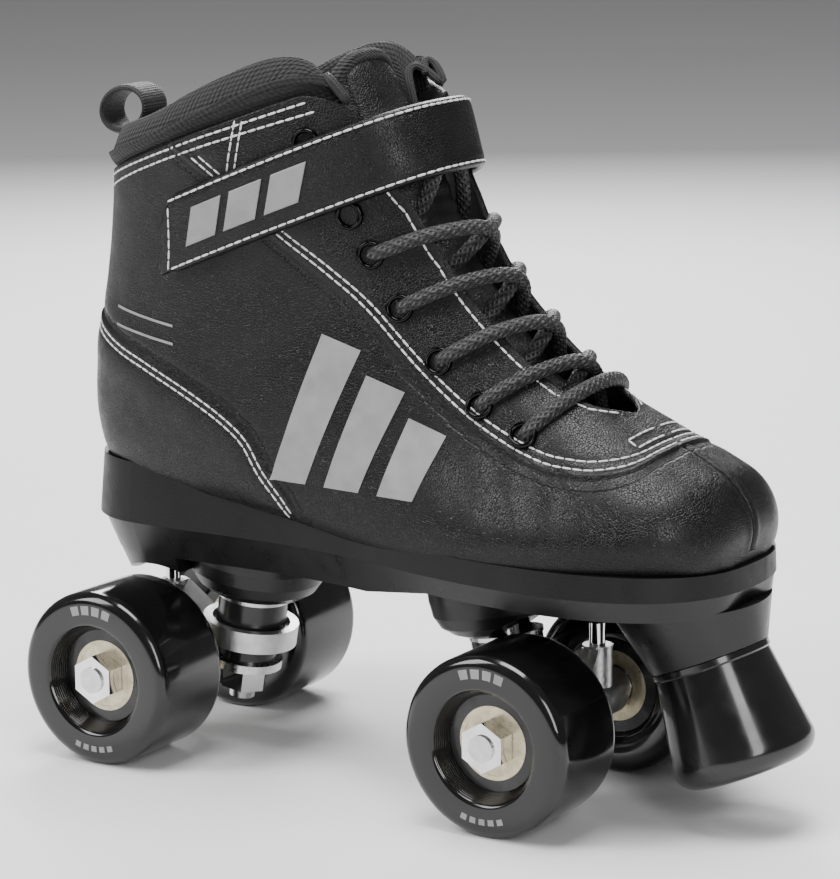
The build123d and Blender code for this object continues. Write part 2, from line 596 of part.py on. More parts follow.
# ---------------------------------------------------------------- wheels
def make_wheel(end, side):
    """Tyre, core, bearing outer rings with their shields, and balls of one wheel."""
    x = end * AXLE_X
    inner_face = WHEEL_FACE_OUT - WHEEL_WIDTH
    tyre_outline = [(CORE_RADIUS, inner_face + 2.4), (RECESS_RADIUS - 0.6, inner_face), (WHEEL_RADIUS, inner_face),
                    (WHEEL_RADIUS, WHEEL_FACE_OUT), (RECESS_RADIUS, WHEEL_FACE_OUT), (CORE_RADIUS, 46.4)]
    tyre = turned(tyre_outline)
    rims = [edge for edge in tyre.edges().filter_by(GeomType.CIRCLE) if abs(edge.radius - WHEEL_RADIUS) < 0.01]
    tyre = fillet(rims, WHEEL_EDGE)
    core_outline = [(BEARING_RADIUS, inner_face + 2.4), (CORE_RADIUS, inner_face + 2.4), (CORE_RADIUS, 46.4),
                    (BEARING_RADIUS, 46.4), (BEARING_RADIUS, BEARING_OUT - BEARING_WIDTH),
                    (8.6, BEARING_OUT - BEARING_WIDTH), (8.6, BEARING_IN + BEARING_WIDTH),
                    (BEARING_RADIUS, BEARING_IN + BEARING_WIDTH)]
    core = turned(core_outline)
    outer_rings = []
    balls = []
    for start in (BEARING_IN, BEARING_OUT - BEARING_WIDTH):
        end_y = start + BEARING_WIDTH
        outline = [(6.3, start + 0.2), (9.7, start + 0.2), (9.7, start), (BEARING_RADIUS, start),
                   (BEARING_RADIUS, end_y), (9.7, end_y), (9.7, end_y - 0.2), (6.3, end_y - 0.2),
                   (6.3, end_y - 0.7), (9.65, end_y - 0.7), (9.65, start + 0.7), (6.3, start + 0.7)]
        outer_rings.append(turned(outline))
        for k in range(BALLS):
            turn = 2 * pi * k / BALLS
            centre = (BALL_CIRCLE * cos(turn), BALL_CIRCLE * sin(turn), start + BEARING_WIDTH / 2)
            balls.append(Pos(*centre) * Sphere(BALL_RADIUS))
    place = Plane(origin=(x, 0, 27), x_dir=(side, 0, 0), z_dir=(0, side, 0))
    return {
        "tyre": place * tyre,
        "core": place * core,
        "bearing_outer_rings": Compound([place * ring for ring in outer_rings]),
        "bearing_balls": Compound([place * ball for ball in balls]),
    }


# ---------------------------------------------------------------- the whole skate
def make_all():
    nodes = {}
    nodes.update(make_upper())
    nodes["eyelets"] = make_eyelets()
    nodes["collar_padding"] = make_collar()
    nodes["tongue"] = make_tongue()
    nodes["insole"] = make_insole()
    nodes.update(make_strap())
    nodes["pull_loop"] = make_pull_loop()
    nodes["collar_padding"] = single(nodes["collar_padding"] - nodes["pull_loop"])
    nodes["lace"] = make_lace()
    nodes["outsole"] = make_outsole() - make_screws()
    nodes["plate"] = make_plate()
    nodes["sole_screws"] = make_screws()
    nodes.update(make_toe_stop())
    for end, end_name in ((1, "front"), (-1, "rear")):
        for name, shape in {**make_kingpin_stack(end), **make_truck(end)}.items():
            nodes[f"{end_name}_{name}"] = shape
        for side, side_name in ((1, "left"), (-1, "right")):
            for name, shape in make_wheel(end, side).items():
                nodes[f"{end_name}_{side_name}_{name}"] = shape
    return nodes


os.makedirs("parts", exist_ok=True)
for name, shape in make_all().items():
    export_step(Pos(-ORIGIN_X, 0, 0) * shape, f"parts/{name}.step")
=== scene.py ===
# The looks of a right-foot quad roller skate, built round its CAD frame. Points are worked out in
# millimetres with X = 0 midway between the axles, and turned into the row frame's metres at the end.

import json
from math import cos, log, pi, radians, sin

import bmesh
import bpy
import numpy as np
from mathutils import Matrix, Vector


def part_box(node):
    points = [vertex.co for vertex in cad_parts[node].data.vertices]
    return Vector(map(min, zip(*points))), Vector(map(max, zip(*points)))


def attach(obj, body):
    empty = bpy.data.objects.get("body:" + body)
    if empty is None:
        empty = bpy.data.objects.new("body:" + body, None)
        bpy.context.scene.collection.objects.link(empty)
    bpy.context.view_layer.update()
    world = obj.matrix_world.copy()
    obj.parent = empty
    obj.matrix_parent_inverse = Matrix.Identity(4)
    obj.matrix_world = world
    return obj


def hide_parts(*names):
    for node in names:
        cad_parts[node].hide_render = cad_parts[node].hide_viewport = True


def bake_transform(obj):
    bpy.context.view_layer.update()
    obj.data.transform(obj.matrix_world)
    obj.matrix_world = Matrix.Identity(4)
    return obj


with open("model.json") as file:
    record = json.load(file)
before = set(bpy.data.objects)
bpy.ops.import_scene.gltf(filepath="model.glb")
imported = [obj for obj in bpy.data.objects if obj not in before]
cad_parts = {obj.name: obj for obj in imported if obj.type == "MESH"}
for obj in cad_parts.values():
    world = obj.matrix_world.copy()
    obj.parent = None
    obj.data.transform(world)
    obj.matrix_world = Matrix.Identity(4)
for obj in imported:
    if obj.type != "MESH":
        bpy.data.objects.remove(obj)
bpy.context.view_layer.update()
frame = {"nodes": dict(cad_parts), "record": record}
ROOT = "boot_and_plate"
FLAP = "strap_flap"
LATERAL, MEDIAL = -1, 1

# ---------------------------------------------------------------- sizes, as in the CAD
LACE_RADIUS = 2.2
EYELET_RADIUS = 4.3
EYELET_BORE = 2.75
STRAP_GAP = 2.2
STRAP_THICK = 2.2
STRAP_FACE = STRAP_GAP + STRAP_THICK
STRAP_FRONT_GAP = -1.5
STRAP_LOW = 171.0
STRAP_HIGH = 194.6
STRAP_SLOPE = 0.4
STRAP_END_X = -52.0
STRAP_ANCHOR_X = -38.0
SEWN_END_X = 8.0                # behind this, on the inner side, the strap never moves
TONGUE_LEAN = 12.0              # how far the tongue's top leans back into the collar
TONGUE_SHIFT = -3.0             # and how far the tongue sits to the outer side
TONGUE_DEPTH = 8.0
PANEL_RISE = 0.9                # how far an upper panel stands above the one it is sewn on
UNDERLAP = 3.0                  # the strip below a seam that goes with the panel on top of it
SEAM_STITCHES = (2.0, 4.0)      # the stitch rows' distances inside a panel's edge
STITCH_PITCH = 3.2
STITCH_LENGTH = 2.95
STITCH_WIDTH = 0.34
STITCH_LIFT = 0.1               # how far the upper's stitches stand above the leather
STRAP_STITCHES = 0.86           # the strap's stitch rows, as a share of its half width
BRAID_LEAN = 0.9                # the angle between the lace's strands and its run, in radians
BRAID_PITCH = 1.45
WAVE = 0.314                    # the scale at which a wave texture has one band to the unit

STATIONS = np.array([
    # low x, low z, high x, high z, half_width, low_power, high_power, peak
    (126.0, 72.5, 127.8, 81.0, 11.0, 0.50, 0.60, 0.45),
    (120.5, 72.3, 128.6, 88.0, 22.0, 0.45, 0.62, 0.42),
    (111.5, 72.3, 126.2, 95.0, 30.0, 0.38, 0.66, 0.38),
    (99.0, 72.5, 120.0, 101.8, 37.0, 0.32, 0.72, 0.34),
    (83.0, 72.8, 109.5, 107.2, 41.2, 0.29, 0.80, 0.30),
    (62.0, 73.0, 96.5, 113.0, 42.0, 0.28, 0.90, 0.27),
    (38.0, 73.5, 82.0, 122.0, 39.5, 0.30, 1.00, 0.26),
    (10.0, 75.0, 68.0, 133.0, 36.0, 0.34, 1.00, 0.28),
    (-22.0, 79.0, 56.5, 145.0, 33.5, 0.40, 0.95, 0.32),
    (-57.0, 82.0, 47.0, 156.0, 32.5, 0.50, 0.88, 0.38),
    (-85.0, 86.0, 40.5, 165.5, 32.0, 0.62, 0.80, 0.42),
    (-95.5, 99.0, 36.0, 173.5, 32.0, 0.76, 0.75, 0.46),
    (-96.8, 117.0, 32.5, 180.5, 32.0, 0.84, 0.72, 0.48),
    (-94.6, 137.0, 29.5, 187.5, 32.5, 0.86, 0.70, 0.50),
    (-91.5, 156.5, 27.0, 194.5, 33.5, 0.86, 0.70, 0.50),
    (-89.5, 173.0, 24.5, 201.0, 34.5, 0.84, 0.70, 0.50),
    (-89.0, 186.0, 21.5, 209.0, 34.5, 0.84, 0.70, 0.50),
    (-89.7, 210.0, 15.6, 224.0, 33.0, 0.84, 0.70, 0.50),
])
LAST_STATION = len(STATIONS) - 1.0
FORM_END = LAST_STATION + 0.4   # the sections carry on a little past the last station
SHAFT_START = 9.0               # the lines round the boot's top all lie beyond this station

# Station and angle (degrees, 0 low and 180 high) of the eyelets, toe end first.
EYELETS = [(6.2, 138), (7.05, 136), (8.05, 136), (9.3, 137), (10.9, 136), (12.3, 132), (14.9, 122)]
LACED_ROWS = 5

THROAT_FOOT = np.array([89.0, 116.0])
THROAT_HEAD = np.array([23.0, 205.0])
THROAT_ALONG = [0, 0.3, 1, 2, 4, 7, 16, 40, 66, 84, 100, 130]
THROAT_HALF = [0, 1.8, 3.3, 4.6, 7.2, 10, 12.8, 13.8, 14.8, 17.5, 22.5, 27]
VAMP_SEAM = [(-60, 196), (-35, 181), (-15, 165), (2, 153), (15, 142.5), (32, 127), (51, 114), (71, 105.5),
             (86, 103), (97, 103.6), (104, 106.2), (106.8, 111), (107.6, 118)]
HEEL_SEAM = [(-130, 150), (-84, 131), (-62, 124), (-42, 116), (-25, 106), (-17, 95), (-8, 84), (-4, 70)]
LEATHER_TOP = [(-120, 166), (140, 257.5)]
COLLAR_TOP = [(-110, 184), (-88, 189), (-62, 196.5), (-40, 206), (-24, 212.5), (-12, 216), (-2, 215.5),
              (6, 209), (16, 198)]

AXLE_LOW, AXLE_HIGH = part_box("front_axle")
REAR_LOW, REAR_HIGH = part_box("rear_axle")
MID_WHEELBASE = (AXLE_LOW.x + AXLE_HIGH.x + REAR_LOW.x + REAR_HIGH.x) / 4


def to_row(points):
    """Millimetres from mid-wheelbase to metres in the row frame."""
    return np.asarray(points, float) / 1000 + np.array([MID_WHEELBASE, 0, 0])


# ---------------------------------------------------------------- curves and the boot's surface
def smooth_line(points, step=0.5):
    """A Catmull-Rom curve through points, sampled about every step."""
    p = np.asarray(points, float)
    p = np.vstack([2 * p[0] - p[1], p, 2 * p[-1] - p[-2]])
    out = []
    for a, b, c, d in zip(p, p[1:], p[2:], p[3:]):
        count = max(2, int(np.linalg.norm(c - b) / step))
        u = (np.arange(count) / count)[:, None]
        out.append(0.5 * (2 * b + (c - a) * u + (2 * a - 5 * b + 4 * c - d) * u**2
                          + (3 * b - a - 3 * c + d) * u**3))
    return np.vstack(out + [p[-2][None]])


def station(t):
    t = np.asarray(t, float)
    i = np.clip(np.floor(t).astype(int), 0, len(STATIONS) - 2)
    u = (t - i)[..., None]
    a, b = STATIONS[i], STATIONS[i + 1]
    before = np.where((i > 0)[..., None], STATIONS[np.maximum(i - 1, 0)], 2 * a - b)
    after = np.where((i + 2 < len(STATIONS))[..., None],
                     STATIONS[np.minimum(i + 2, len(STATIONS) - 1)], 2 * b - a)
    m0, m1 = (b - before) / 2, (after - a) / 2
    return ((2 * u**3 - 3 * u**2 + 1) * a + (u**3 - 2 * u**2 + u) * m0
            + (3 * u**2 - 2 * u**3) * b + (u**3 - u**2) * m1)


def section(t, angle, inset=0.0, front_inset=None, side=LATERAL):
    """Points of the boot's section at station t, moved inwards by inset."""
    t, angle, inset, side = np.broadcast_arrays(*(np.asarray(v, float) for v in (t, angle, inset, side)))
    front = inset if front_inset is None else np.asarray(front_inset, float)
    s = station(t)
    low, high = s[..., 0:2], s[..., 2:4]
    half_width, low_power, high_power, peak = (s[..., k] for k in (4, 5, 6, 7))
    span = high - low
    along = span / np.linalg.norm(span, axis=-1, keepdims=True)
    low = low + along * inset[..., None]
    high = high - along * (front[..., None] if np.ndim(front) else front)
    bulge = np.maximum(np.sin(angle), 0.0) ** np.where(angle < pi / 2, low_power, high_power)
    reach = np.clip((1 - np.cos(angle)) / 2, 0, 1) ** (np.log(peak) / log(0.5))
    xz = low + (high - low) * reach[..., None]
    return np.stack([xz[..., 0], side * (half_width - inset) * bulge, xz[..., 1]], -1)


def lift(t, angle, height=0.0, side=LATERAL):
    """Points at a height above the boot's surface, and the outward normals there."""
    t, angle, height, side = np.broadcast_arrays(*(np.asarray(v, float) for v in (t, angle, height, side)))
    here = section(t, angle, side=side)
    along = section(t + 0.05, angle, side=side) - section(t - 0.05, angle, side=side)
    flat = np.clip(angle, 0.035, pi - 0.035)
    around = section(t, flat + 0.03, side=side) - section(t, flat - 0.03, side=side)
    normal = np.cross(along, around) * side[..., None]
    normal /= np.linalg.norm(normal, axis=-1, keepdims=True)
    on_middle = (angle < 0.02) | (angle > pi - 0.02)
    normal[..., 1] = np.where(on_middle, 0.0, normal[..., 1])
    normal /= np.linalg.norm(normal, axis=-1, keepdims=True)
    return here + normal * height[..., None], normal


def line_height(profile, x):
    """z of a line that is a function of x."""
    curve = smooth_line(profile)
    return np.interp(x, curve[:, 0], curve[:, 1])


def throat_half(points):
    """Half width of the lacing gap beside a point on the instep."""
    along = (THROAT_HEAD - THROAT_FOOT) / np.linalg.norm(THROAT_HEAD - THROAT_FOOT)
    s = (points[..., [0, 2]] - THROAT_FOOT) @ along
    return np.interp(s, THROAT_ALONG, THROAT_HALF, left=0.0)


def bisect(function, low, high, steps=30):
    """Where function, positive at low and not at high, changes sign, for each entry."""
    low, high = np.array(low, float), np.array(high, float)
    for _ in range(steps):
        mid = (low + high) / 2
        positive = function(mid) > 0
        low = np.where(positive, mid, low)
        high = np.where(positive, high, mid)
    return (low + high) / 2


def throat_angle(t, least=0.0):
    """The angle at which each section meets the lacing gap's edge, pi where there is no gap."""
    t = np.asarray(t, float)

    def outside(angle):
        p = section(t, angle)
        half = throat_half(p)
        return np.abs(p[..., 1]) - np.where(half > 0, np.maximum(half, least), 0.0)

    crown = section(t, np.full_like(t, pi))
    edge = bisect(outside, np.full_like(t, pi / 2), np.full_like(t, pi))
    return np.where(throat_half(crown) > 0, edge, pi)


def top_station(angle_of, profile, count, high=LAST_STATION):
    """The stations at which count columns, given by their angles at each station, meet a line in X and Z."""
    def under(t):
        p = section(t, angle_of(t))
        return line_height(profile, p[..., 0]) - p[..., 2]

    return bisect(under, np.full(count, SHAFT_START), np.full(count, high))


def seam_distance(points, seam, below=False):
    """Signed distance in X and Z from a seam: positive inside its panel, above it or, if asked, below."""
    curve = smooth_line(seam, 2.0)
    a, b = curve[:-1], curve[1:]
    run = b - a
    flat = points.reshape(-1, 3)[:, [0, 2]]
    best = np.full(len(flat), 1e9)
    for k in range(len(a)):
        rel = flat - a[k]
        u = np.clip((rel @ run[k]) / (run[k] @ run[k]), 0, 1)
        best = np.minimum(best, ((rel - u[:, None] * run[k]) ** 2).sum(1))
    above = flat[:, 1] > line_height(seam, flat[:, 0])
    value = np.sqrt(best) * np.where(above != below, 1.0, -1.0)
    return value.reshape(points.shape[:-1])


def step_up(distance, width=0.95):
    """0 outside, 1 inside, with a rounded edge."""
    u = np.clip(distance / width, 0, 1)
    return np.sqrt(1 - (1 - u) ** 2)


def ripple(points, scale, seed):
    """Smooth unevenness from -1 to 1 with features about scale millimetres across."""
    rng = np.random.default_rng(seed)
    total = np.zeros(points.shape[:-1])
    for _ in range(7):
        direction = rng.normal(size=3)
        direction /= np.linalg.norm(direction)
        total += np.sin(points @ direction * (2 * pi / scale) * rng.uniform(0.6, 1.4) + rng.uniform(0, 6.3))
    return total / 7


# ---------------------------------------------------------------- meshes
def add_mesh(name, points, faces, material, body=ROOT, uv=None, smooth=True, slot=None):
    """A mesh object from points in millimetres, riding on a CAD body. uv is one pair per point."""
    mesh = bpy.data.meshes.new(name)
    mesh.from_pydata(to_row(points).tolist(), [], [tuple(int(i) for i in f) for f in faces])
    mesh.validate()
    if uv is not None:
        layer = mesh.uv_layers.new(name="UVMap")
        corners = np.zeros(len(mesh.loops), int)
        mesh.loops.foreach_get("vertex_index", corners)
        layer.data.foreach_set("uv", np.asarray(uv, float)[corners].ravel())
    mesh.polygons.foreach_set("use_smooth", [smooth] * len(mesh.polygons))
    mesh.update()
    obj = bpy.data.objects.new(name, mesh)
    bpy.context.collection.objects.link(obj)
    mesh.materials.append(material)
    if body:
        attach(obj, body)
    return obj


def grid_faces(rows, columns, close_rows=False, close_columns=False):
    index = np.arange(rows * columns).reshape(rows, columns)
    if close_rows:
        index = np.vstack([index, index[:1]])
    if close_columns:
        index = np.hstack([index, index[:, :1]])
    quads = np.stack([index[:-1, :-1], index[:-1, 1:], index[1:, 1:], index[1:, :-1]], -1)
    return quads.reshape(-1, 4)


def end_caps(rows, count):
    """The two faces that close a tube of points at its first and last row."""
    return [list(range(count))[::-1], list(range((rows - 1) * count, rows * count))]


def run_length(path):
    """The distance along a path at each of its points."""
    return np.concatenate([[0], np.cumsum(np.linalg.norm(np.diff(path, axis=0), axis=1))])


def grid_uv(points):
    """Distance along rows and columns of a grid of points, in millimetres."""
    across = np.linalg.norm(np.diff(points, axis=1), axis=2)
    along = np.linalg.norm(np.diff(points, axis=0), axis=2)
    u = np.concatenate([np.zeros((points.shape[0], 1)), np.cumsum(across, 1)], 1)
    v = np.concatenate([np.zeros((1, points.shape[1])), np.cumsum(along, 0)], 0)
    u = u - u[:, u.shape[1] // 2][:, None]
    return np.stack([u, v], -1).reshape(-1, 2)


def fix_normals(obj):
    work = bmesh.new()
    work.from_mesh(obj.data)
    bmesh.ops.remove_doubles(work, verts=work.verts, dist=2e-6)
    bmesh.ops.recalc_face_normals(work, faces=work.faces)
    work.to_mesh(obj.data)
    work.free()
    return obj


def frames_along(path, closed=False):
    """Unit tangents and two normals that don't twist, at each point of a path."""
    path = np.asarray(path, float)
    if closed:
        tangent = np.roll(path, -1, 0) - np.roll(path, 1, 0)
    else:
        tangent = np.gradient(path, axis=0)
    tangent /= np.linalg.norm(tangent, axis=1, keepdims=True)
    first = np.cross(tangent[0], [0.0, 0.0, 1.0])
    if np.linalg.norm(first) < 0.1:
        first = np.cross(tangent[0], [0.0, 1.0, 0.0])
    normals = [first / np.linalg.norm(first)]
    for t in tangent[1:]:
        n = normals[-1] - t * (normals[-1] @ t)
        normals.append(n / np.linalg.norm(n))
    normals = np.array(normals)
    return tangent, normals, np.cross(tangent, normals)


def tube(path, radius, sides=12, closed=False):
    """Points of a tube round a path, as a grid with a row for each point of the path."""
    path = np.asarray(path, float)
    _, n, b = frames_along(path, closed)
    turn = np.linspace(0, 2 * pi, sides, endpoint=False)
    radius = np.broadcast_to(np.asarray(radius, float), (len(path),))
    ring = (np.cos(turn)[None, :, None] * n[:, None] + np.sin(turn)[None, :, None] * b[:, None])
    return path[:, None] + ring * radius[:, None, None]


def add_tube(name, path, radius, material, body=ROOT, sides=12, closed=False, slot=None):
    points = tube(path, radius, sides, closed)
    rows = len(points)
    faces = grid_faces(rows, sides, close_rows=closed, close_columns=True).tolist()
    uv = grid_uv(points)
    flat = points.reshape(-1, 3)
    if not closed:
        faces += end_caps(rows, sides)
    return add_mesh(name, flat, faces, material, body, uv, slot=slot)


def lathe(name, profile, material, centre, axis, body, segments=96, slot=None):
    """A solid turned from (radius, distance along axis) points. centre is in the row frame, in metres."""
    profile = np.asarray(profile, float)
    turn = np.linspace(0, 2 * pi, segments, endpoint=False)
    rotation = np.array(Vector((0, 0, 1)).rotation_difference(Vector(axis)).to_matrix())
    ring = np.stack([np.cos(turn)[None] * profile[:, :1], np.sin(turn)[None] * profile[:, :1],
                     np.repeat(profile[:, 1:], segments, 1)], -1)
    points = ring.reshape(-1, 3) @ rotation.T + (np.array(centre) - [MID_WHEELBASE, 0, 0]) * 1000
    faces = grid_faces(len(profile), segments, close_rows=True, close_columns=True)
    return fix_normals(add_mesh(name, points, faces, material, body, slot=slot))


# ---------------------------------------------------------------- materials
class Look:
    """A node material on a Principled shader, with short calls for the usual nodes."""

    def __init__(self, name, colour, roughness, **sockets):
        self.material = bpy.data.materials.new(name)
        self.material.use_nodes = True
        self.tree = self.material.node_tree
        self.shader = self.tree.nodes["Principled BSDF"]
        self.shader.inputs["Base Color"].default_value = (*colour, 1)
        self.shader.inputs["Roughness"].default_value = roughness
        for socket, value in sockets.items():
            self.shader.inputs[socket.replace("_", " ")].default_value = value
        self.coords = self.tree.nodes.new("ShaderNodeTexCoord")
        self.height = None

    def node(self, kind, **settings):
        node = self.tree.nodes.new("ShaderNode" + kind)
        for key, value in settings.items():
            if hasattr(node, key):
                setattr(node, key, value)
            else:
                node.inputs[key.replace("_", " ")].default_value = value
        return node

    def link(self, source, target):
        self.tree.links.new(source, target)
        return source

    def place(self, uv=False, stretch=(1, 1, 1), turn=(0, 0, 0)):
        """Texture coordinates: the object's own metres, or the UV map's millimetres."""
        mapping = self.node("Mapping")
        mapping.inputs["Scale"].default_value = stretch
        mapping.inputs["Rotation"].default_value = turn
        self.link(self.coords.outputs["UV" if uv else "Object"], mapping.inputs["Vector"])
        return mapping.outputs["Vector"]

    def noise(self, scale, detail=3.0, **place):
        node = self.node("TexNoise", Scale=scale, Detail=detail)
        self.link(self.place(**place), node.inputs["Vector"])
        return node.outputs["Fac"]

    def cells(self, scale, feature="F1", **place):
        node = self.node("TexVoronoi", Scale=scale, feature=feature)
        self.link(self.place(**place), node.inputs["Vector"])
        return node.outputs["Distance"]

    def waves(self, scale, direction="X", profile="SIN", **place):
        node = self.node("TexWave", Scale=scale, bands_direction=direction, wave_profile=profile)
        self.link(self.place(**place), node.inputs["Vector"])
        return node.outputs["Fac"]

    def math(self, operation, a, b=0.5):
        node = self.node("Math", operation=operation)
        for value, socket in ((a, node.inputs[0]), (b, node.inputs[1])):
            if isinstance(value, (int, float)):
                socket.default_value = value
            else:
                self.link(value, socket)
        return node.outputs[0]

    def remap(self, value, low, high, to_low, to_high):
        node = self.node("MapRange")
        self.link(value, node.inputs["Value"])
        for key, number in zip(("From Min", "From Max", "To Min", "To Max"), (low, high, to_low, to_high)):
            node.inputs[key].default_value = number
        return node.outputs["Result"]

    def tint(self, value, dark, light, low=0.3, high=0.7):
        """The base colour from dark to light as value goes from low to high."""
        ramp = self.node("ValToRGB")
        ramp.color_ramp.elements[0].position = low
        ramp.color_ramp.elements[1].position = high
        ramp.color_ramp.elements[0].color = (*dark, 1)
        ramp.color_ramp.elements[1].color = (*light, 1)
        self.link(value, ramp.inputs["Fac"])
        self.link(ramp.outputs["Color"], self.shader.inputs["Base Color"])
        return self

    def rough(self, value, to_low, to_high, low=0.3, high=0.7):
        """The roughness from to_low to to_high as value goes from low to high."""
        self.link(self.remap(value, low, high, to_low, to_high), self.shader.inputs["Roughness"])
        return self

    def bump(self, value, distance, strength=1.0):
        """Adds relief of the given height in metres over what is already there."""
        node = self.node("Bump", Distance=distance, Strength=strength)
        self.link(value, node.inputs["Height"])
        if self.height:
            self.link(self.height, node.inputs["Normal"])
        self.height = node.outputs["Normal"]
        self.link(self.height, self.shader.inputs["Normal"])
        return self


def grey(value, warmth=0.0):
    return (value * (1 + warmth), value, value * (1 - warmth))


def leather_look():
    look = Look("leather", grey(0.005), 0.34, Specular_IOR_Level=0.26)
    grain = look.cells(1250, "DISTANCE_TO_EDGE")
    pores = look.noise(2600, 2)
    broad = look.noise(70, 4)
    look.tint(broad, grey(0.004), grey(0.007))
    look.rough(look.noise(240, 5), 0.27, 0.41)
    look.bump(look.remap(grain, 0, 0.12, 0, 1), 0.00013, 0.55)
    return look.bump(pores, 0.00006, 0.4).bump(broad, 0.0003, 0.25)


def knit_look():
    """Chunky spacer knit: rows of open cells, offset from row to row, with painted shade in the cells'
    hollows.
    """
    look = Look("knit", grey(0.008), 0.85, Sheen_Weight=0.05, Sheen_Roughness=0.5)
    columns = look.waves(1.0 / 2.3 * WAVE, "X", uv=True)
    rows = look.waves(1.0 / 1.7 * WAVE, "Y", uv=True)
    cells = look.node("TexVoronoi", Scale=1.0, feature="F1", Randomness=0.12)
    look.link(look.place(uv=True, stretch=(1 / 1.9, 1 / 1.5, 1)), cells.inputs["Vector"])
    strands = look.math("MULTIPLY", columns, rows)
    height = look.math("ADD", cells.outputs["Distance"], look.math("MULTIPLY", strands, 0.25))
    # Painted shade: the knit is coloured darker where its relief is lower, in the hollows between cells and
    # strands, and lighter on its raised nubs; height drives both the colour and the bump.
    look.tint(height, grey(0.018), grey(0.002), 0.25, 0.75)
    look.bump(look.math("SUBTRACT", 1.0, height), 0.0009, 1.0)
    return look.bump(look.noise(3.0, 3, uv=True), 0.0001, 0.4)


def lining_look():
    look = Look("lining", grey(0.02), 0.9, Sheen_Weight=0.1)
    return look.tint(look.noise(900, 4), grey(0.012), grey(0.03)).bump(look.cells(1600), 0.0001, 0.6)


def webbing_look():
    look = Look("webbing", grey(0.008), 0.62, Sheen_Weight=0.05)
    ribs = look.waves(WAVE / 1.0, "X", uv=True)
    cross = look.waves(WAVE / 0.8, "Y", uv=True)
    weave = look.math("MAXIMUM", ribs, cross)
    # Painted shade: the weave is coloured darker in its hollows and lighter on its raised ribs, from the same
    # pattern as its bump.
    look.tint(weave, grey(0.003), grey(0.014), 0.2, 1.0)
    return look.bump(weave, 0.0003, 0.9)


def felt_look(name, spread):
    look = Look(name, grey(0.016), 0.95, Sheen_Weight=0.2)
    fibres = look.noise(spread, 6)
    # Painted shade: the tape is coloured darker in the hollows between its fibres and lighter where they
    # stand up, from the same noise as its bump.
    look.tint(fibres, grey(0.006), grey(0.05), 0.35, 0.7)
    return look.bump(fibres, 0.0006, 1.0)


def braid_look():
    """Round braid: two sets of crossing strands, with pale flecks on some of them and painted shade between
    the strands.
    """
    look = Look("lace_braid", grey(0.01), 0.55, Sheen_Weight=0.03)
    right = look.waves(WAVE / BRAID_PITCH, "X", uv=True, turn=(0, 0, BRAID_LEAN))
    left = look.waves(WAVE / BRAID_PITCH, "X", uv=True, turn=(0, 0, -BRAID_LEAN))
    strands = look.math("MAXIMUM", right, left)
    wide = look.waves(WAVE / (2 * BRAID_PITCH), "X", uv=True, turn=(0, 0, BRAID_LEAN))
    fleck_rows = look.math("GREATER_THAN", wide, 0.72)
    fleck_cuts = look.math("GREATER_THAN", left, 0.62)
    flecks = look.math("MULTIPLY", fleck_rows, fleck_cuts)
    # Painted shade and real flecks: the strands are coloured lighter on their crests and darker between them,
    # and the pale flecks are the lace's own colour.
    strand_shade_and_flecks = look.math("ADD", look.math("MULTIPLY", strands, 0.3), look.math("MULTIPLY", flecks, 0.7))
    look.tint(strand_shade_and_flecks, grey(0.003), grey(0.075), 0.1, 1.0)
    return look.bump(strands, 0.0005, 1.0).bump(look.noise(9.0, 3, uv=True), 0.0001, 0.5)


def thread_look():
    look = Look("white_thread", grey(0.68), 0.6)
    look.tint(look.noise(900, 3), grey(0.5), grey(0.8))
    return look.bump(look.waves(500, "DIAGONAL"), 0.0001, 0.6)


def print_look():
    look = Look("grey_print", grey(0.24), 0.5)
    look.tint(look.noise(150, 4), grey(0.21), grey(0.27))
    look.bump(look.cells(1250, "DISTANCE_TO_EDGE"), 0.00006, 0.5)
    return look.rough(look.noise(300, 4), 0.42, 0.58)


def rubber_look(name, value, roughness, grain_scale, relief, spec=0.5):
    look = Look(name, grey(value), roughness, Specular_IOR_Level=spec)
    look.tint(look.noise(45, 5), grey(value * 0.75), grey(value * 1.25))
    look.rough(look.noise(180, 6), roughness * 0.85, roughness * 1.2)
    return look.bump(look.noise(grain_scale, 3), relief, 0.6)


def glossy_look(name, value, roughness=0.09):
    """Poured urethane: deep gloss with faint handling marks and a slow unevenness."""
    look = Look(name, grey(value), roughness, Specular_IOR_Level=0.45, Coat_Weight=0.25, Coat_Roughness=0.06)
    look.tint(look.noise(30, 3), grey(value * 0.8), grey(value * 1.2), 0.35, 0.65)
    look.rough(look.noise(120, 8), roughness, roughness * 2.4, 0.35, 0.7)
    return look.bump(look.noise(55, 2), 0.00008, 0.3).bump(look.noise(1500, 2), 0.00001, 0.3)


def metal_look(name, value, roughness, grain, relief, warmth=0.0):
    look = Look(name, grey(value, warmth), roughness, Metallic=1.0)
    look.tint(look.noise(grain / 6, 5), grey(value * 0.86, warmth), grey(min(value * 1.08, 1.0), warmth))
    look.rough(look.noise(grain / 2, 6), roughness * 0.75, roughness * 1.35)
    return look.bump(look.noise(grain, 3), relief, 0.6)


def shield_look():
    look = Look("bearing_shield", (0.62, 0.53, 0.36), 0.32, Metallic=0.6)
    look.tint(look.noise(400, 4), (0.52, 0.45, 0.31), (0.74, 0.66, 0.48))
    look.rough(look.noise(600, 5), 0.24, 0.42)
    return look.bump(look.noise(2500, 2), 0.00002, 0.5)


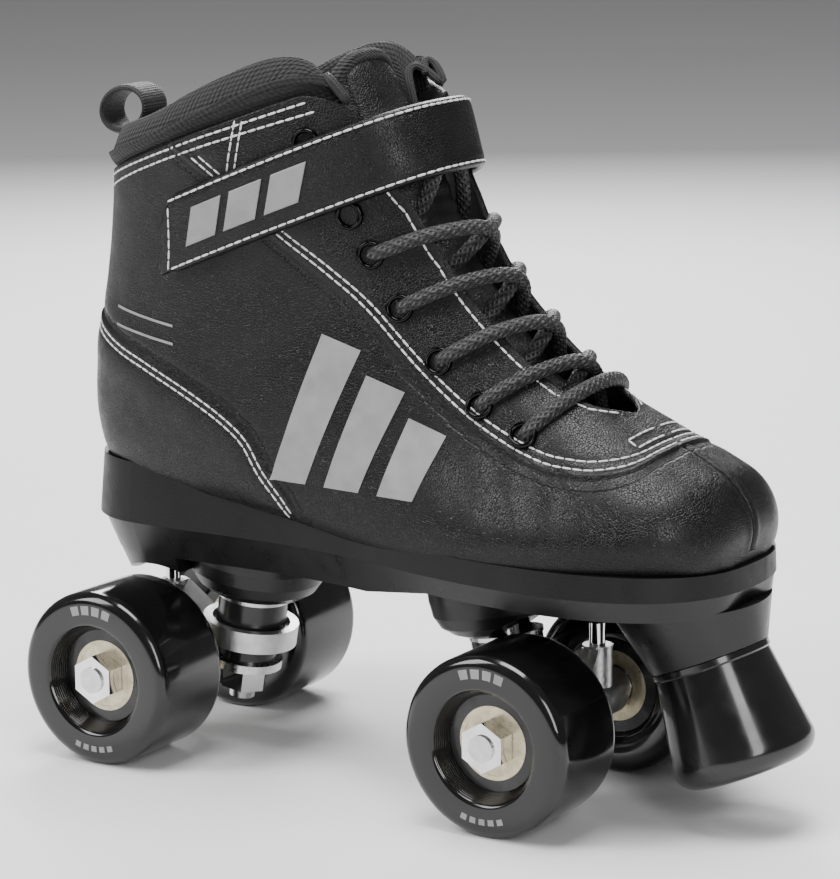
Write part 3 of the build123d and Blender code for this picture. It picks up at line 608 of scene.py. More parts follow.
LEATHER = leather_look().material
KNIT = knit_look().material
LINING = lining_look().material
WEBBING = webbing_look().material
HOOKS = felt_look("hook_tape", 1400).material
LOOPS = felt_look("loop_tape", 700).material
BRAID = braid_look().material
THREAD = thread_look().material
PRINT = print_look().material
SOLE_RUBBER = rubber_look("sole_rubber", 0.008, 0.4, 1500, 0.00012, 0.22).material
PLATE_PLASTIC = rubber_look("plate_plastic", 0.006, 0.3, 900, 0.00004, 0.4).material
CUSHION_RUBBER = rubber_look("cushion_rubber", 0.012, 0.2, 400, 0.00003).material
CUP_PLASTIC = rubber_look("cup_plastic", 0.02, 0.5, 900, 0.00004).material
URETHANE = glossy_look("wheel_urethane", 0.004).material
CORE_PLASTIC = glossy_look("wheel_core", 0.01, 0.2).material
STOP_RUBBER = glossy_look("stop_rubber", 0.007, 0.12).material
STEEL = metal_look("plated_steel", 0.62, 0.22, 2200, 0.00002).material
CHROME = metal_look("chrome", 0.8, 0.08, 900, 0.00001).material
CAST = metal_look("cast_aluminium", 0.58, 0.38, 1400, 0.00008).material
BLACK_METAL = metal_look("black_eyelet", 0.02, 0.18, 900, 0.00001).material
SHIELD = shield_look().material
SLOT_LOOKS = {
    "leather": LEATHER, "knit": KNIT, "webbing": WEBBING, "felt": LOOPS, "lace_braid": BRAID,
    "eyelet": BLACK_METAL, "sole": SOLE_RUBBER, "plate_plastic": PLATE_PLASTIC, "insole_foam": LINING,
    "steel": STEEL, "chrome": CHROME, "cast": CAST, "cushion": CUSHION_RUBBER, "wheel_urethane": URETHANE,
    "wheel_core": CORE_PLASTIC, "shield": SHIELD, "stop_rubber": STOP_RUBBER, "cup_plastic": CUP_PLASTIC,
}


def paint_cad_nodes():
    """Every carried-over CAD part gets its slot's material; the plate, the outsole and the hangers, nuts,
    washers, studs and bolts also get eased edges.
    """
    slots = {part["node"]: part["material_slot"] for part in frame["record"]["subparts"]}
    for name, obj in frame["nodes"].items():
        obj.data.materials.clear()
        obj.data.materials.append(SLOT_LOOKS[slots[name]])
        if name == "plate" or name.endswith(("hanger", "nut", "nuts", "washer", "stud", "outsole", "bolt")):
            ease = obj.modifiers.new("ease", "BEVEL")
            ease.width = 0.0008 if name in ("plate", "outsole") or "hanger" in name else 0.0004
            ease.segments = 3
            ease.limit_method = "ANGLE"
            ease.angle_limit = radians(32)
            ease.harden_normals = False


# ---------------------------------------------------------------- the upper
def panel_rise(flat):
    """How far the leather's outer face stands off the boot's surface: raised panels, folds and puckers."""
    inside_facing = seam_distance(flat, VAMP_SEAM)
    inside_heel = seam_distance(flat, HEEL_SEAM, below=True)
    facing = step_up(inside_facing)
    heel = step_up(inside_heel) * (1 - (inside_facing > -2))
    rise = PANEL_RISE * np.maximum(facing, heel)
    for distance in (inside_facing, inside_heel):
        for line in SEAM_STITCHES:
            rise -= 0.28 * np.exp(-((distance - line) / 0.75) ** 2) * (distance > 0)
        rise += 0.35 * np.exp(-((distance - 9) / 5) ** 2) * (distance > 0)
        rise += 0.25 * np.exp(-((distance + 4) / 4) ** 2) * (distance < 0)
    rise += 0.35 * ripple(flat, 46, 3) + 0.10 * ripple(flat, 13, 5)
    flex = np.exp(-((flat[..., 0] - 72) / 16) ** 2) * np.exp(-((flat[..., 2] - 101) / 12) ** 2)
    rise += 0.30 * flex * np.sin((flat[..., 0] * 0.9 + flat[..., 2] * 0.55) * 2 * pi / 11)
    toe = (inside_facing < 0) * np.clip((flat[..., 0] - 92) / 8, 0, 1)
    middle = np.abs(flat[..., 1])
    rise += toe * (0.4 * np.exp(-((middle - 2.0) / 1.3) ** 2) - 0.5 * np.exp(-(middle / 0.7) ** 2))
    return rise * np.clip((flat[..., 2] - 78) / 6, 0, 1)


def make_upper():
    """The leather shell as one fine sheet with raised, stitched panels, split at its seams."""
    columns, rows = 175, 430
    share = np.sin(np.linspace(-pi / 2, pi / 2, 2 * columns + 1) * 0.999)
    share = 0.55 * np.linspace(-1, 1, 2 * columns + 1) + 0.45 * share
    side = np.where(share < 0, LATERAL, MEDIAL)
    knots = np.linspace(0, FORM_END, 1200)
    widest = throat_angle(knots)

    def angle_of(t):
        return np.abs(share) * np.interp(t, knots, widest)

    top = top_station(angle_of, LEATHER_TOP, len(share))
    top -= 0.6 * np.clip((np.abs(share) - 0.88) / 0.12, 0, 1) ** 2
    mean_line = (section(knots, np.full_like(knots, 1.2)) + section(knots, np.full_like(knots, 2.2))) / 2
    length = run_length(mean_line)
    wanted = np.linspace(0, 1, rows)[:, None] * np.interp(top, knots, length)[None, :]
    t = np.interp(wanted, length, knots)
    angle = np.abs(share)[None, :] * np.interp(t, knots, widest)
    flat = section(t, angle, side=side)
    inside_facing = seam_distance(flat, VAMP_SEAM)
    inside_heel = seam_distance(flat, HEEL_SEAM, below=True)
    points, _ = lift(t, angle, panel_rise(flat), side)
    faces = grid_faces(*t.shape)
    in_facing = inside_facing.reshape(-1)[faces].min(axis=1) > -UNDERLAP
    in_heel = inside_heel.reshape(-1)[faces].min(axis=1) > -UNDERLAP
    clear_of_facing = inside_facing.reshape(-1)[faces[:, 0]] < -UNDERLAP
    owner = np.where(in_facing, 0, np.where(in_heel & clear_of_facing, 2, 1))
    cap = [(k, k + 1, 2 * columns - k - 1, 2 * columns - k) for k in range(columns)]
    for number, name in enumerate(("upper_facing", "upper_vamp", "heel_counter")):
        chosen = faces[owner == number].tolist() + (cap if name == "upper_vamp" else [])
        used, renumbered = np.unique(np.concatenate([np.array(f) for f in chosen]), return_inverse=True)
        starts = np.cumsum([0] + [len(f) for f in chosen])
        local = [renumbered[a:b] for a, b in zip(starts, starts[1:])]
        obj = add_mesh("panel_" + name, points.reshape(-1, 3)[used], local, LEATHER, slot="leather")
        obj.data.materials.append(LINING)
        thick = obj.modifiers.new("leather", "SOLIDIFY")
        thick.thickness = 0.0022
        thick.offset = -1
        thick.material_offset = 1
        thick.use_rim = True
        fix_normals(obj)
        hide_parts(name)


def crossings(values, places, which):
    """For each row of values at the places, where it changes sign: the first time (0) or the last (-1)."""
    found = []
    for row in values:
        change = np.flatnonzero(np.diff(np.sign(row)) != 0)
        if len(change):
            k = change[which]
            u = row[k] / (row[k] - row[k + 1])
            found.append(places[k] + u * (places[k + 1] - places[k]))
        else:
            found.append(None)
    return found


def trace_rows(seam, offset, stations, below=False, angle_range=(0.05, pi - 0.02)):
    """Where each station's section meets the line at an offset inside a seam, as (station, angle)."""
    angles = np.linspace(*angle_range, 120)
    grid_t, grid_a = np.meshgrid(stations, angles, indexing="ij")
    value = seam_distance(section(grid_t, grid_a), seam, below) - offset
    return np.array([(t, a) for t, a in zip(stations, crossings(value, angles, -1)) if a is not None])


def trace_columns(seam, offset, angles, station_range, below=False):
    """The same for each angle, over a range of stations."""
    stations = np.linspace(*station_range, 60)
    grid_a, grid_t = np.meshgrid(angles, stations, indexing="ij")
    value = seam_distance(section(grid_t, grid_a), seam, below) - offset
    return np.array([(t, a) for t, a in zip(crossings(value, stations, 0), angles) if t is not None])


def resample(path, pitch):
    length = run_length(path)
    count = max(2, int(length[-1] / pitch) + 1)
    wanted = np.linspace(0, length[-1], count)
    return np.stack([np.interp(wanted, length, path[:, k]) for k in range(path.shape[1])], -1)


def stitch_row(track, side):
    """Stitches along a track of (station, angle): each a small rounded thread end to end."""
    rise = panel_rise(section(track[:, 0], track[:, 1], side=side))
    path, normals = lift(track[:, 0], track[:, 1], rise + STITCH_LIFT, side)
    keyed = resample(np.hstack([path, normals]), STITCH_PITCH / 6)
    return stitches_on(keyed[:, :3], keyed[:, 3:])


def stitches_on(path, normals):
    """Rounded stitches laid end to end along a fine path with the surface normals there."""
    steps = run_length(path)
    centres = np.arange(STITCH_PITCH / 2, steps[-1], STITCH_PITCH)
    points, faces = [], []
    profile = [(-0.5, 0.0), (-0.46, 0.6), (-0.3, 0.95), (0.0, 1.0), (0.3, 0.95), (0.46, 0.6), (0.5, 0.0)]
    sides = 6
    for centre in centres:
        here = np.array([np.interp(centre, steps, path[:, k]) for k in range(3)])
        ahead = np.array([np.interp(centre + 0.3, steps, path[:, k]) for k in range(3)])
        behind = np.array([np.interp(centre - 0.3, steps, path[:, k]) for k in range(3)])
        up = np.array([np.interp(centre, steps, normals[:, k]) for k in range(3)])
        along = (ahead - behind) / max(np.linalg.norm(ahead - behind), 1e-6)
        across = np.cross(along, up)
        across /= np.linalg.norm(across)
        start = len(points)
        for s, w in profile:
            for k in range(sides):
                turn = 2 * pi * k / sides
                points.append(here + along * s * STITCH_LENGTH
                              + (across * cos(turn) + up * sin(turn) * 0.8) * max(w, 0.05) * STITCH_WIDTH)
        faces += (grid_faces(len(profile), sides, close_columns=True) + start).tolist()
    return points, faces


def gather(parts):
    points, faces = [], []
    for more_points, more_faces in parts:
        start = len(points)
        points += [tuple(p) for p in more_points]
        faces += [[i + start for i in f] for f in more_faces]
    return np.array(points), faces


def make_stitching():
    rows = []
    for side in (LATERAL, MEDIAL):
        for offset in SEAM_STITCHES:
            side_rows = trace_rows(VAMP_SEAM, offset, np.linspace(15.2, 4.95, 80),
                                   angle_range=(0.3, pi - 0.05))
            turn = side_rows[-1, 1]
            front = trace_columns(VAMP_SEAM, offset, np.linspace(turn, pi - 0.001, 30), (3.2, 5.4))
            rows.append(stitch_row(np.vstack([side_rows, front]), side))
            heel = trace_rows(HEEL_SEAM, offset, np.linspace(12.9, 7.75, 60), below=True,
                              angle_range=(0.02, 1.6))
            rows.append(stitch_row(heel, side))
        stations = np.linspace(5.56, 14.6, 140)
        edge = throat_angle(stations) - 3.2 / np.interp(stations, [5, 9, 15], [60, 52, 44])
        rows.append(stitch_row(np.stack([stations, edge], -1), side))
        collar = []
        for angle in np.linspace(0.02, 2.2, 120):
            stop = top_station(lambda t: np.full_like(t, angle), LEATHER_TOP, 1)
            collar.append((float(stop[0]), angle))
        for below in (0.16, 0.42):
            rows.append(stitch_row(np.array(collar) - (below, 0), side))
        for row in ([(4.98, 163), (4.98, 179.5)], [(4.72, 163), (4.72, 179.5)], [(4.98, 163), (4.72, 163)]):
            rows.append(stitch_row(np.linspace(row[0], row[1], 12) * (1, pi / 180), side))
        for x in (-26.5, -24.0):
            track = side_track(x + np.linspace(2.0, -1.5, 12), np.linspace(199.0, 182.0, 12))
            rows.append(stitch_row(track, side))
    add_mesh("white_stitching", *gather(rows), THREAD, slot="leather")


# ---------------------------------------------------------------- collar, tongue and lining
def make_collar():
    """The padded knit collar: a puffed roll from under the leather's edge, over the top and down inside."""
    columns = 90
    share = np.linspace(-1, 1, 2 * columns + 1)
    side = np.where(share < 0, LATERAL, MEDIAL)
    knots = np.linspace(SHAFT_START, FORM_END, 500)
    widest = throat_angle(knots, least=23.0)

    def angle_of(t):
        return np.abs(share) * np.interp(t, knots, widest)

    leather = top_station(angle_of, LEATHER_TOP, len(share))
    crest = np.maximum(top_station(angle_of, COLLAR_TOP, len(share), LAST_STATION + 0.3), leather)
    profile = smooth_line([(0.0, -0.45, 3.4), (0.0, -0.05, 2.6), (0.0, 0.16, 0.4), (0.5, 0.05, -1.3),
                           (1.0, -0.35, -0.4), (1.0, -0.02, 2.2), (1.0, 0.08, 4.9), (1.0, -0.10, 7.9),
                           (1.0, -0.7, 9.6), (1.0, -1.5, 9.7), (1.0, -2.3, 8.9), (1.0, -2.6, 6.0)], 0.12)
    profile = resample(profile * np.array([6.0, 12.0, 1.0]), 0.7) / np.array([6.0, 12.0, 1.0])
    t = leather[None] + (crest - leather)[None] * profile[:, :1] + profile[:, 1:2]
    angle = np.abs(share)[None] * np.interp(t, knots, widest)
    inset = profile[:, 2:3] + 0.35 * ripple(section(t, angle, side=side), 30, 11)
    points = section(t, angle, inset, side=side)
    collar = add_mesh("collar_padding_knit", points.reshape(-1, 3), grid_faces(*t.shape), KNIT,
                      uv=grid_uv(points), slot="knit")
    fix_normals(collar)
    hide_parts("collar_padding")
    for column, name in ((0, "lateral"), (-1, "medial")):
        edge = points[6:-6, column]
        add_tube(f"collar_binding_{name}", resample(edge, 1.2), 1.3, WEBBING, sides=14, slot="knit")


def make_tongue():
    """The padded tongue: leather in front and behind, bound round its edge."""
    rows, columns = 130, 44
    along = np.linspace(0, 1, rows)[:, None]
    across = np.linspace(-1, 1, 2 * columns + 1)[None]
    t = 4.6 + (LAST_STATION - 0.3 - 0.45 * np.abs(across) ** 3 - 4.6) * along
    lean = TONGUE_LEAN * (np.clip(t - 13.5, 0, None) / 3.5) ** 1.5
    half = np.interp(along, [0, 0.1, 0.5, 0.9, 1], [12.0, 16.0, 17.2, 17.2, 15.5])
    wanted = np.abs(across) * half
    depth = TONGUE_DEPTH + 2.3
    side = np.where(across < 0, LATERAL, MEDIAL)
    t, wanted, side = np.broadcast_arrays(t, wanted, side)
    angle = bisect(lambda a: np.abs(section(t, a, depth, depth + lean)[..., 1]) - wanted,
                   np.full(t.shape, pi / 2), np.full(t.shape, pi))
    top_edge = np.clip(1 - ((along - 0.93) / 0.07) ** 2, 0, 1) * (along > 0.93) + (along <= 0.93)
    edge = np.sqrt(np.clip(1 - np.abs(across) ** 5, 0, 1)) * np.sqrt(top_edge)
    crown = 0.7 * (1 - across ** 2) * (along > 0.2)
    channels = 0.5 * np.exp(-((np.abs(across) - 0.78) / 0.03) ** 2)
    creases = 0.25 * np.sin(along * 2 * pi * 17 + across * 1.2) * np.exp(-((along - 0.45) / 0.3) ** 2)
    sheets = []
    for sign in (-1, 1):
        skin = depth + sign * 2.6 * edge
        if sign < 0:
            skin = skin - crown + channels + creases
        points = section(t, angle, skin, skin + lean, side)
        points[..., 1] += TONGUE_SHIFT
        sheets.append(points)
    bow = np.clip((along - 0.85) / 0.15, 0, 1) ** 2
    for points in sheets:
        points[..., 0] += 3.0 * bow
    loop = np.concatenate([sheets[0], sheets[1][:, ::-1]], axis=1)
    faces = grid_faces(rows, loop.shape[1], close_columns=True).tolist()
    faces += end_caps(rows, loop.shape[1])
    tongue = add_mesh("tongue_leather", loop.reshape(-1, 3), faces, LEATHER, slot="leather")
    fix_normals(tongue)
    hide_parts("tongue")
    start = int(rows * 0.62)
    middle = (sheets[0] + sheets[1]) / 2
    rim = np.concatenate([middle[start:, 0], middle[-1, 1:-1], middle[start:, -1][::-1]])
    add_tube("tongue_binding", resample(rim, 1.4), 2.3, KNIT, sides=16, slot="knit")


def make_insole():
    """The insole's cloth-covered pad, following the inside of the boot."""
    columns, rows = 40, 90
    t = np.linspace(1.3, 10.6, rows)[:, None]
    u = np.linspace(-1, 1, columns)[None]
    floor_z = np.interp(section(t, np.full_like(t, 0.3))[..., 0], [-90, -50, -20, 28, 130],
                        [92.4, 92.4, 88.4, 83, 82.4])
    angle = bisect(lambda a: floor_z - section(t, a, 3.9)[..., 2],
                   np.full(t.shape, 0.02), np.full(t.shape, pi / 2))
    edge = section(t, angle, 3.9)
    points = np.repeat(edge, columns, axis=1)
    points[..., 1] = np.abs(edge[..., 1]) * u
    points[..., 2] += 0.8 * np.abs(u) ** 4
    sheet = add_mesh("insole_fabric", points.reshape(-1, 3), grid_faces(rows, columns), LINING,
                     slot="insole_foam")
    thick = sheet.modifiers.new("foam", "SOLIDIFY")
    thick.thickness = 0.003
    fix_normals(sheet)
    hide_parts("insole")


# ---------------------------------------------------------------- strap
def strap_grid(angles, sides, heights, lift_by):
    """Points of the strap's sheet for each column (angle and side) and height across the strap."""
    angle, height = np.meshgrid(angles, heights)
    side = np.broadcast_to(sides, angle.shape)

    def point(t):
        return section(t, angle, -lift_by, -(lift_by + STRAP_FRONT_GAP), side)

    t = bisect(lambda t: height - (point(t)[..., 2] - STRAP_SLOPE * point(t)[..., 0]),
               np.full(angle.shape, SHAFT_START), np.full(angle.shape, LAST_STATION + 1.2))
    return point(t)


def strap_columns(rear_lateral, rear_medial, count):
    """Angles and sides of the strap's columns from its free end, round the front, to its sewn end."""
    angles = np.concatenate([np.linspace(0.35, pi, count), np.linspace(pi, 0.35, count)[1:]])
    sides = np.concatenate([np.full(count, LATERAL), np.full(count - 1, MEDIAL)])
    middle = strap_grid(angles, sides, np.array([(STRAP_LOW + STRAP_HIGH) / 2]), STRAP_GAP)[0]
    lateral = (sides == LATERAL) & (middle[:, 0] >= rear_lateral)
    medial = (sides == MEDIAL) & (middle[:, 0] >= rear_medial)
    return angles[lateral | medial], sides[lateral | medial]


def make_strap():
    """One strap from its sewn end on the inner side, over the front, to the free end on the outer side."""
    angles, sides = strap_columns(STRAP_END_X, STRAP_ANCHOR_X, 150)
    across = np.linspace(-1, 1, 25)
    middle, half = (STRAP_LOW + STRAP_HIGH) / 2, (STRAP_HIGH - STRAP_LOW) / 2
    sheets = [strap_grid(angles, sides, middle + across * half, lift_by)
              for lift_by in (STRAP_FACE, STRAP_GAP)]
    outer, inner = sheets
    reach = outer[..., 0] - STRAP_END_X
    corner = np.sqrt(np.clip(1 - (1 - np.clip(reach / 7.0, 0, 1)) ** 2, 0, 1))
    narrow = np.where(sides[None] == LATERAL, corner, 1.0)
    narrow = np.where((across > 0)[:, None], narrow, np.maximum(narrow, 0.93))
    mid_row = len(across) // 2
    for points in sheets:
        centre = points[mid_row][None]
        points[:] = centre + (points - centre) * narrow[..., None]
    edge = np.sqrt(np.clip(1 - np.abs(across) ** 14, 0.0, 1))[:, None, None]
    core = (outer + inner) / 2
    outer = core + (outer - core) * edge * 1.1
    inner = core + (inner - core) * edge
    groove = 0.25 * np.exp(-((np.abs(across) - 0.84) / 0.05) ** 2)[:, None, None]
    outer = outer - (outer - core) * groove
    loop = np.concatenate([outer, inner[::-1]], axis=0)
    sewn = np.flatnonzero((sides == MEDIAL) & (core[mid_row, :, 0] < SEWN_END_X))[0]
    for name, part, body in (("strap_band", loop[:, :sewn + 1], None),
                             ("strap_sewn_end", loop[:, sewn:], ROOT)):
        count = part.shape[1]
        faces = grid_faces(part.shape[0], count, close_rows=True).tolist()
        first = [k * count for k in range(part.shape[0])]
        faces += [first, [k + count - 1 for k in first][::-1]]
        strap = add_mesh(name, part.reshape(-1, 3), faces, LEATHER, body=body, slot="webbing")
        fix_normals(strap)
        if body is None:
            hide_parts("strap_base", "strap_flap")
            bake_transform(strap)
    stitches = []
    for level in (-STRAP_STITCHES, STRAP_STITCHES):
        track = strap_grid(angles, sides, np.array([middle + level * half]), STRAP_FACE + 0.1)[0]
        out = track - strap_grid(angles, sides, np.array([middle + level * half]), 0.0)[0]
        out /= np.linalg.norm(out, axis=1, keepdims=True)
        keep = track[:, 0] > STRAP_END_X + 3.5
        stitches.append((track[keep], out[keep]))
    first = strap_grid(angles[:6], sides[:6], middle + np.linspace(-STRAP_STITCHES, 0.62, 20) * half,
                       STRAP_FACE + 0.1)
    column = first[:, 3]
    stitches.append((column, np.repeat(np.array([[0, -1.0, 0]]), len(column), 0)))
    rows, sewn_rows = [], []
    for path, normals in stitches:
        keyed = resample(np.hstack([path, normals]), 0.6)
        still = (keyed[:, 1] > 0) & (keyed[:, 0] < SEWN_END_X)
        rows.append(stitches_on(keyed[~still, :3], keyed[~still, 3:]))
        if still.any():
            sewn_rows.append(stitches_on(keyed[still, :3], keyed[still, 3:]))
    thread = add_mesh("strap_stitching", *gather(rows), THREAD, body=None, slot="webbing")
    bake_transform(thread)
    add_mesh("strap_sewn_stitching", *gather(sewn_rows), THREAD, slot="webbing")


def strap_patch(name, corners, lift_by, material, body, thickness=0.25, slot="webbing"):
    """A thin flat patch on the strap's outer lateral face, inside corners of (x, height across)."""
    corners = np.array(corners, float)
    rows, columns = 16, 24
    u = np.linspace(0, 1, columns)[None, :, None]
    v = np.linspace(0, 1, rows)[:, None, None]
    wanted = ((1 - v) * ((1 - u) * corners[0] + u * corners[1]) + v * ((1 - u) * corners[3] + u * corners[2]))
    angles = np.linspace(0.35, pi, 400)
    levels = wanted[..., 1]
    points = np.zeros(wanted.shape[:2] + (3,))
    for i in range(rows):
        for_level = strap_grid(angles, LATERAL, np.array([levels[i].mean()]), lift_by)[0]
        order = np.argsort(for_level[:, 0])
        for k in range(3):
            points[i, :, k] = np.interp(wanted[i, :, 0], for_level[order, 0], for_level[order, k])
    if body == ROOT:
        out = np.cross(points[:, 1:2] - points[:, :1], points[1:2] - points[:1])
        out = out / np.linalg.norm(out, axis=-1, keepdims=True)
        out = np.where(out[..., 1:2] < 0, out, -out)
        points = points + out * np.minimum(panel_rise(points), 1.2)[..., None]
    patch = add_mesh(name, points.reshape(-1, 3), grid_faces(rows, columns), material, body,
                     grid_uv(points), slot=slot)
    thick = patch.modifiers.new("thick", "SOLIDIFY")
    thick.thickness = thickness / 1000
    thick.offset = 0
    return patch


def make_pads():
    low, high = STRAP_LOW + 3, STRAP_HIGH - 3
    hooks = strap_patch("hook_tape", [(-48, low), (-14, low), (-14, high), (-48, high)], 0.4, HOOKS, ROOT,
                        0.6, "felt")
    loops = strap_patch("loop_tape", [(-47, low), (-20, low), (-20, high), (-47, high)], STRAP_GAP - 0.3,
                        LOOPS, FLAP, 0.7, "felt")
    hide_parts("hook_pad")
    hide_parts("loop_pad")
    top = STRAP_FACE + 0.28
    for number, (rear, front) in enumerate(((-42, -31), (-28, -17), (-14, -3))):
        strap_patch(f"strap_print_{number}", [(rear, low + 3.4), (front, low + 3.4), (front + 3, high - 3.2),
                                              (rear + 3, high - 3.2)], top, PRINT, FLAP, 0.12)


def make_pull_loop():
    low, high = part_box("pull_loop")
    centre = (np.array(low) + np.array(high)) / 2 * 1000 - np.array([MID_WHEELBASE * 1000, 0, 0])
    turn = np.linspace(0, 2 * pi, 72, endpoint=False)
    across = np.linspace(-1, 1, 13)
    tilt = 0.35
    along_x, along_z = np.array([1, 0, tilt]) / np.hypot(1, tilt), np.array([-tilt, 0, 1]) / np.hypot(1, tilt)
    sheets = []
    for swell in (1.0, -1.0):
        thick = 0.95 * np.sqrt(np.clip(1 - np.abs(across) ** 8, 0, 1))[None] * swell
        wide = 8.5 + thick
        tall = 6.5 + thick
        ring = (np.cos(turn)[:, None, None] * wide[..., None] * along_x
                + np.sin(turn)[:, None, None] * tall[..., None] * along_z)
        ring[..., 1] += across[None] * 6.4
        sheets.append(ring + centre)
    loop = np.concatenate([sheets[0], sheets[1][:, ::-1]], axis=1)
    faces = grid_faces(loop.shape[0], loop.shape[1], close_rows=True, close_columns=True)
    over = np.concatenate([across, across[::-1]])[None] * 6.4
    uv = np.stack(np.broadcast_arrays((turn * 8)[:, None], over), -1).reshape(-1, 2)
    obj = add_mesh("pull_loop_webbing", loop.reshape(-1, 3), faces, WEBBING, uv=uv, slot="webbing")
    fix_normals(obj)
    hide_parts("pull_loop")


# ---------------------------------------------------------------- lace and eyelets
def on_boot(t, angle_deg, height, side):
    """A point at a height above the boot's surface and the outward normal there, by degrees."""
    return lift(t, radians(angle_deg), height, side)


def lace_half(side):
    """One half of the lace, from the lowest eyelet on a side up to where it goes under the strap."""
    points = []
    for row in range(LACED_ROWS):
        t, angle = EYELETS[row]
        outer, normal = on_boot(t, angle, 0.0, side)
        points.append(outer + normal * 3.1)
        points.append(outer - normal * 5.6)
        if row == LACED_ROWS - 1:
            points.append(on_boot(t + 0.3, 156, -5.0, side)[0])
            points.append(on_boot(t + 1.9, 174, -3.0, side)[0])
            break
        step = EYELETS[row + 1][0] - t
        on_top = side > 0
        points.append(on_boot(t + 0.15 * step, 155, -5.4, side)[0])
        points.append(on_boot(t + 0.5 * step, 180, 4.9 if on_top else 0.2, side)[0])
        side = -side
        points.append(on_boot(t + 0.85 * step, 157, 3.2, side)[0])
    return points


def make_lace():
    bar = [on_boot(EYELETS[0][0], 165, 4.0, side)[0] for side in (1, -1)]
    route = list(reversed(lace_half(1))) + bar + lace_half(-1)
    line = bpy.data.curves.new("lace_line", "CURVE")
    line.dimensions = "3D"
    spline = line.splines.new("NURBS")
    spline.points.add(len(route) - 1)
    for point, place in zip(spline.points, to_row(route)):
        point.co = (*place, 1)
    spline.order_u = 3
    spline.use_endpoint_u = True
    spline.resolution_u = 14
    holder = bpy.data.objects.new("lace_line", line)
    bpy.context.collection.objects.link(holder)
    mesh = bpy.data.meshes.new_from_object(holder)
    path = np.array([v.co for v in mesh.vertices]) * 1000 - np.array([MID_WHEELBASE * 1000, 0, 0])
    bpy.data.objects.remove(holder)
    path = resample(path, 0.55)
    sides = 20
    points = tube(path, LACE_RADIUS, sides)
    distance = run_length(path)
    seam_column = np.linspace(0, 2 * pi * LACE_RADIUS, sides + 1)
    points = np.concatenate([points, points[:, :1]], axis=1)
    uv = np.stack(np.broadcast_arrays(distance[:, None], seam_column[None]), -1).reshape(-1, 2)
    run, turn = uv[:, 0] * cos(BRAID_LEAN), uv[:, 1] * sin(BRAID_LEAN)
    braid = np.sin((run + turn) * 2 * pi / BRAID_PITCH) + np.sin((run - turn) * 2 * pi / BRAID_PITCH)
    centre = np.repeat(path, sides + 1, axis=0)
    flat = points.reshape(-1, 3)
    flat = flat + (flat - centre) * (0.035 * braid)[:, None]
    faces = grid_faces(len(path), sides + 1).tolist()
    faces += end_caps(len(path), sides + 1)
    lace = add_mesh("lace_braided", flat, faces, BRAID, uv=uv, slot="lace_braid")
    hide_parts("lace")


def make_eyelets():
    """Rolled gloss rings, each with a barrel through the leather."""
    inner, outer = EYELET_BORE, EYELET_RADIUS
    rim = [(inner, -3.2), (inner, 0.4), (inner + 0.25, 1.0), ((inner + outer) / 2, 1.45), (outer - 0.3, 1.15),
           (outer, 0.5), (outer, 0.0), (inner + 0.45, 0.0), (inner + 0.45, -3.2)]
    profile = np.array(rim)
    turn = np.linspace(0, 2 * pi, 40, endpoint=False)
    parts = []
    for t, angle in EYELETS:
        for side in (LATERAL, MEDIAL):
            rise = panel_rise(section(t, radians(angle), side=side)[None])[0]
            centre, normal = on_boot(t, angle, rise, side)
            x = np.cross(normal, [0.0, 0.0, 1.0])
            x /= np.linalg.norm(x)
            y = np.cross(normal, x)
            ring = (profile[:, None, :1] * (np.cos(turn)[None, :, None] * x + np.sin(turn)[None, :, None] * y)
                    + profile[:, None, 1:] * normal + centre)
            parts.append((ring.reshape(-1, 3), grid_faces(len(profile), len(turn), True, True).tolist()))
    rings = add_mesh("eyelet_rings", *gather(parts), BLACK_METAL, slot="eyelet")
    fix_normals(rings)
    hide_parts("eyelets")


# ---------------------------------------------------------------- wheels
def make_wheel(end, side_name):
    node = f"{end}_{side_name}_tyre"
    low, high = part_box(node)
    outward = 1 if side_name == "left" else -1
    face, back = (high.y, low.y) if outward > 0 else (low.y, high.y)
    width = abs(face - back) * 1000
    radius = (high.z - low.z) / 2 * 1000
    mouth, core = 16.8, 14.4
    depth = 6.5
    profile = [(core, width - depth), (core, depth - 4.0), (mouth - 0.6, 0.0), (radius - 3.6, 0.0)]
    profile += [(radius - 3.5 + 3.5 * sin(a), 3.5 - 3.5 * cos(a)) for a in np.linspace(0.1, pi / 2, 7)]
    profile += [(radius - 3.5 + 3.5 * cos(a), width - 3.5 + 3.5 * sin(a)) for a in np.linspace(0, pi / 2, 8)]
    profile += [(mouth + 1.2, width), (mouth + 0.35, width - 0.15), (mouth, width - 0.7)]
    rings = 9
    for k in range(rings):
        at = (k + 0.5) / rings
        r = mouth + (core - mouth) * at
        w = width - 0.7 - (depth - 0.9) * at
        profile += [(r - 0.02, w + 0.12), (r - 0.16, w), (r - 0.10, w - 0.14)]
    centre = ((low.x + high.x) / 2, back, (low.z + high.z) / 2)
    body = f"{end}_{side_name}_wheel"
    tyre = lathe(f"{end}_{side_name}_wheel_tyre", profile, URETHANE, centre, (0, outward, 0), body, 128,
                 "wheel_urethane")
    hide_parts(node)
    marks = []
    for middle, count in ((pi / 2, 4), (-pi / 2, 5)):
        span = 0.13 if count == 4 else 0.09
        for k in range(count):
            start = middle + (k - (count - 1) / 2) * (span + 0.05)
            turn = np.linspace(start - span / 2, start + span / 2, 8)
            inner_r, outer_r = (20.4, 23.2) if count == 4 else (20.9, 22.7)
            out = np.full(8, face * 1000 + 0.05 * outward)
            grid = np.stack([np.stack([r * np.cos(turn), out, r * np.sin(turn)], -1)
                             for r in np.linspace(inner_r, outer_r, 3)])
            grid[..., 0] += (centre[0] - MID_WHEELBASE) * 1000
            grid[..., 2] += centre[2] * 1000
            marks.append((grid.reshape(-1, 3), grid_faces(3, 8).tolist()))
    add_mesh(f"{end}_{side_name}_wheel_marks", *gather(marks), PRINT, body, slot="wheel_urethane")


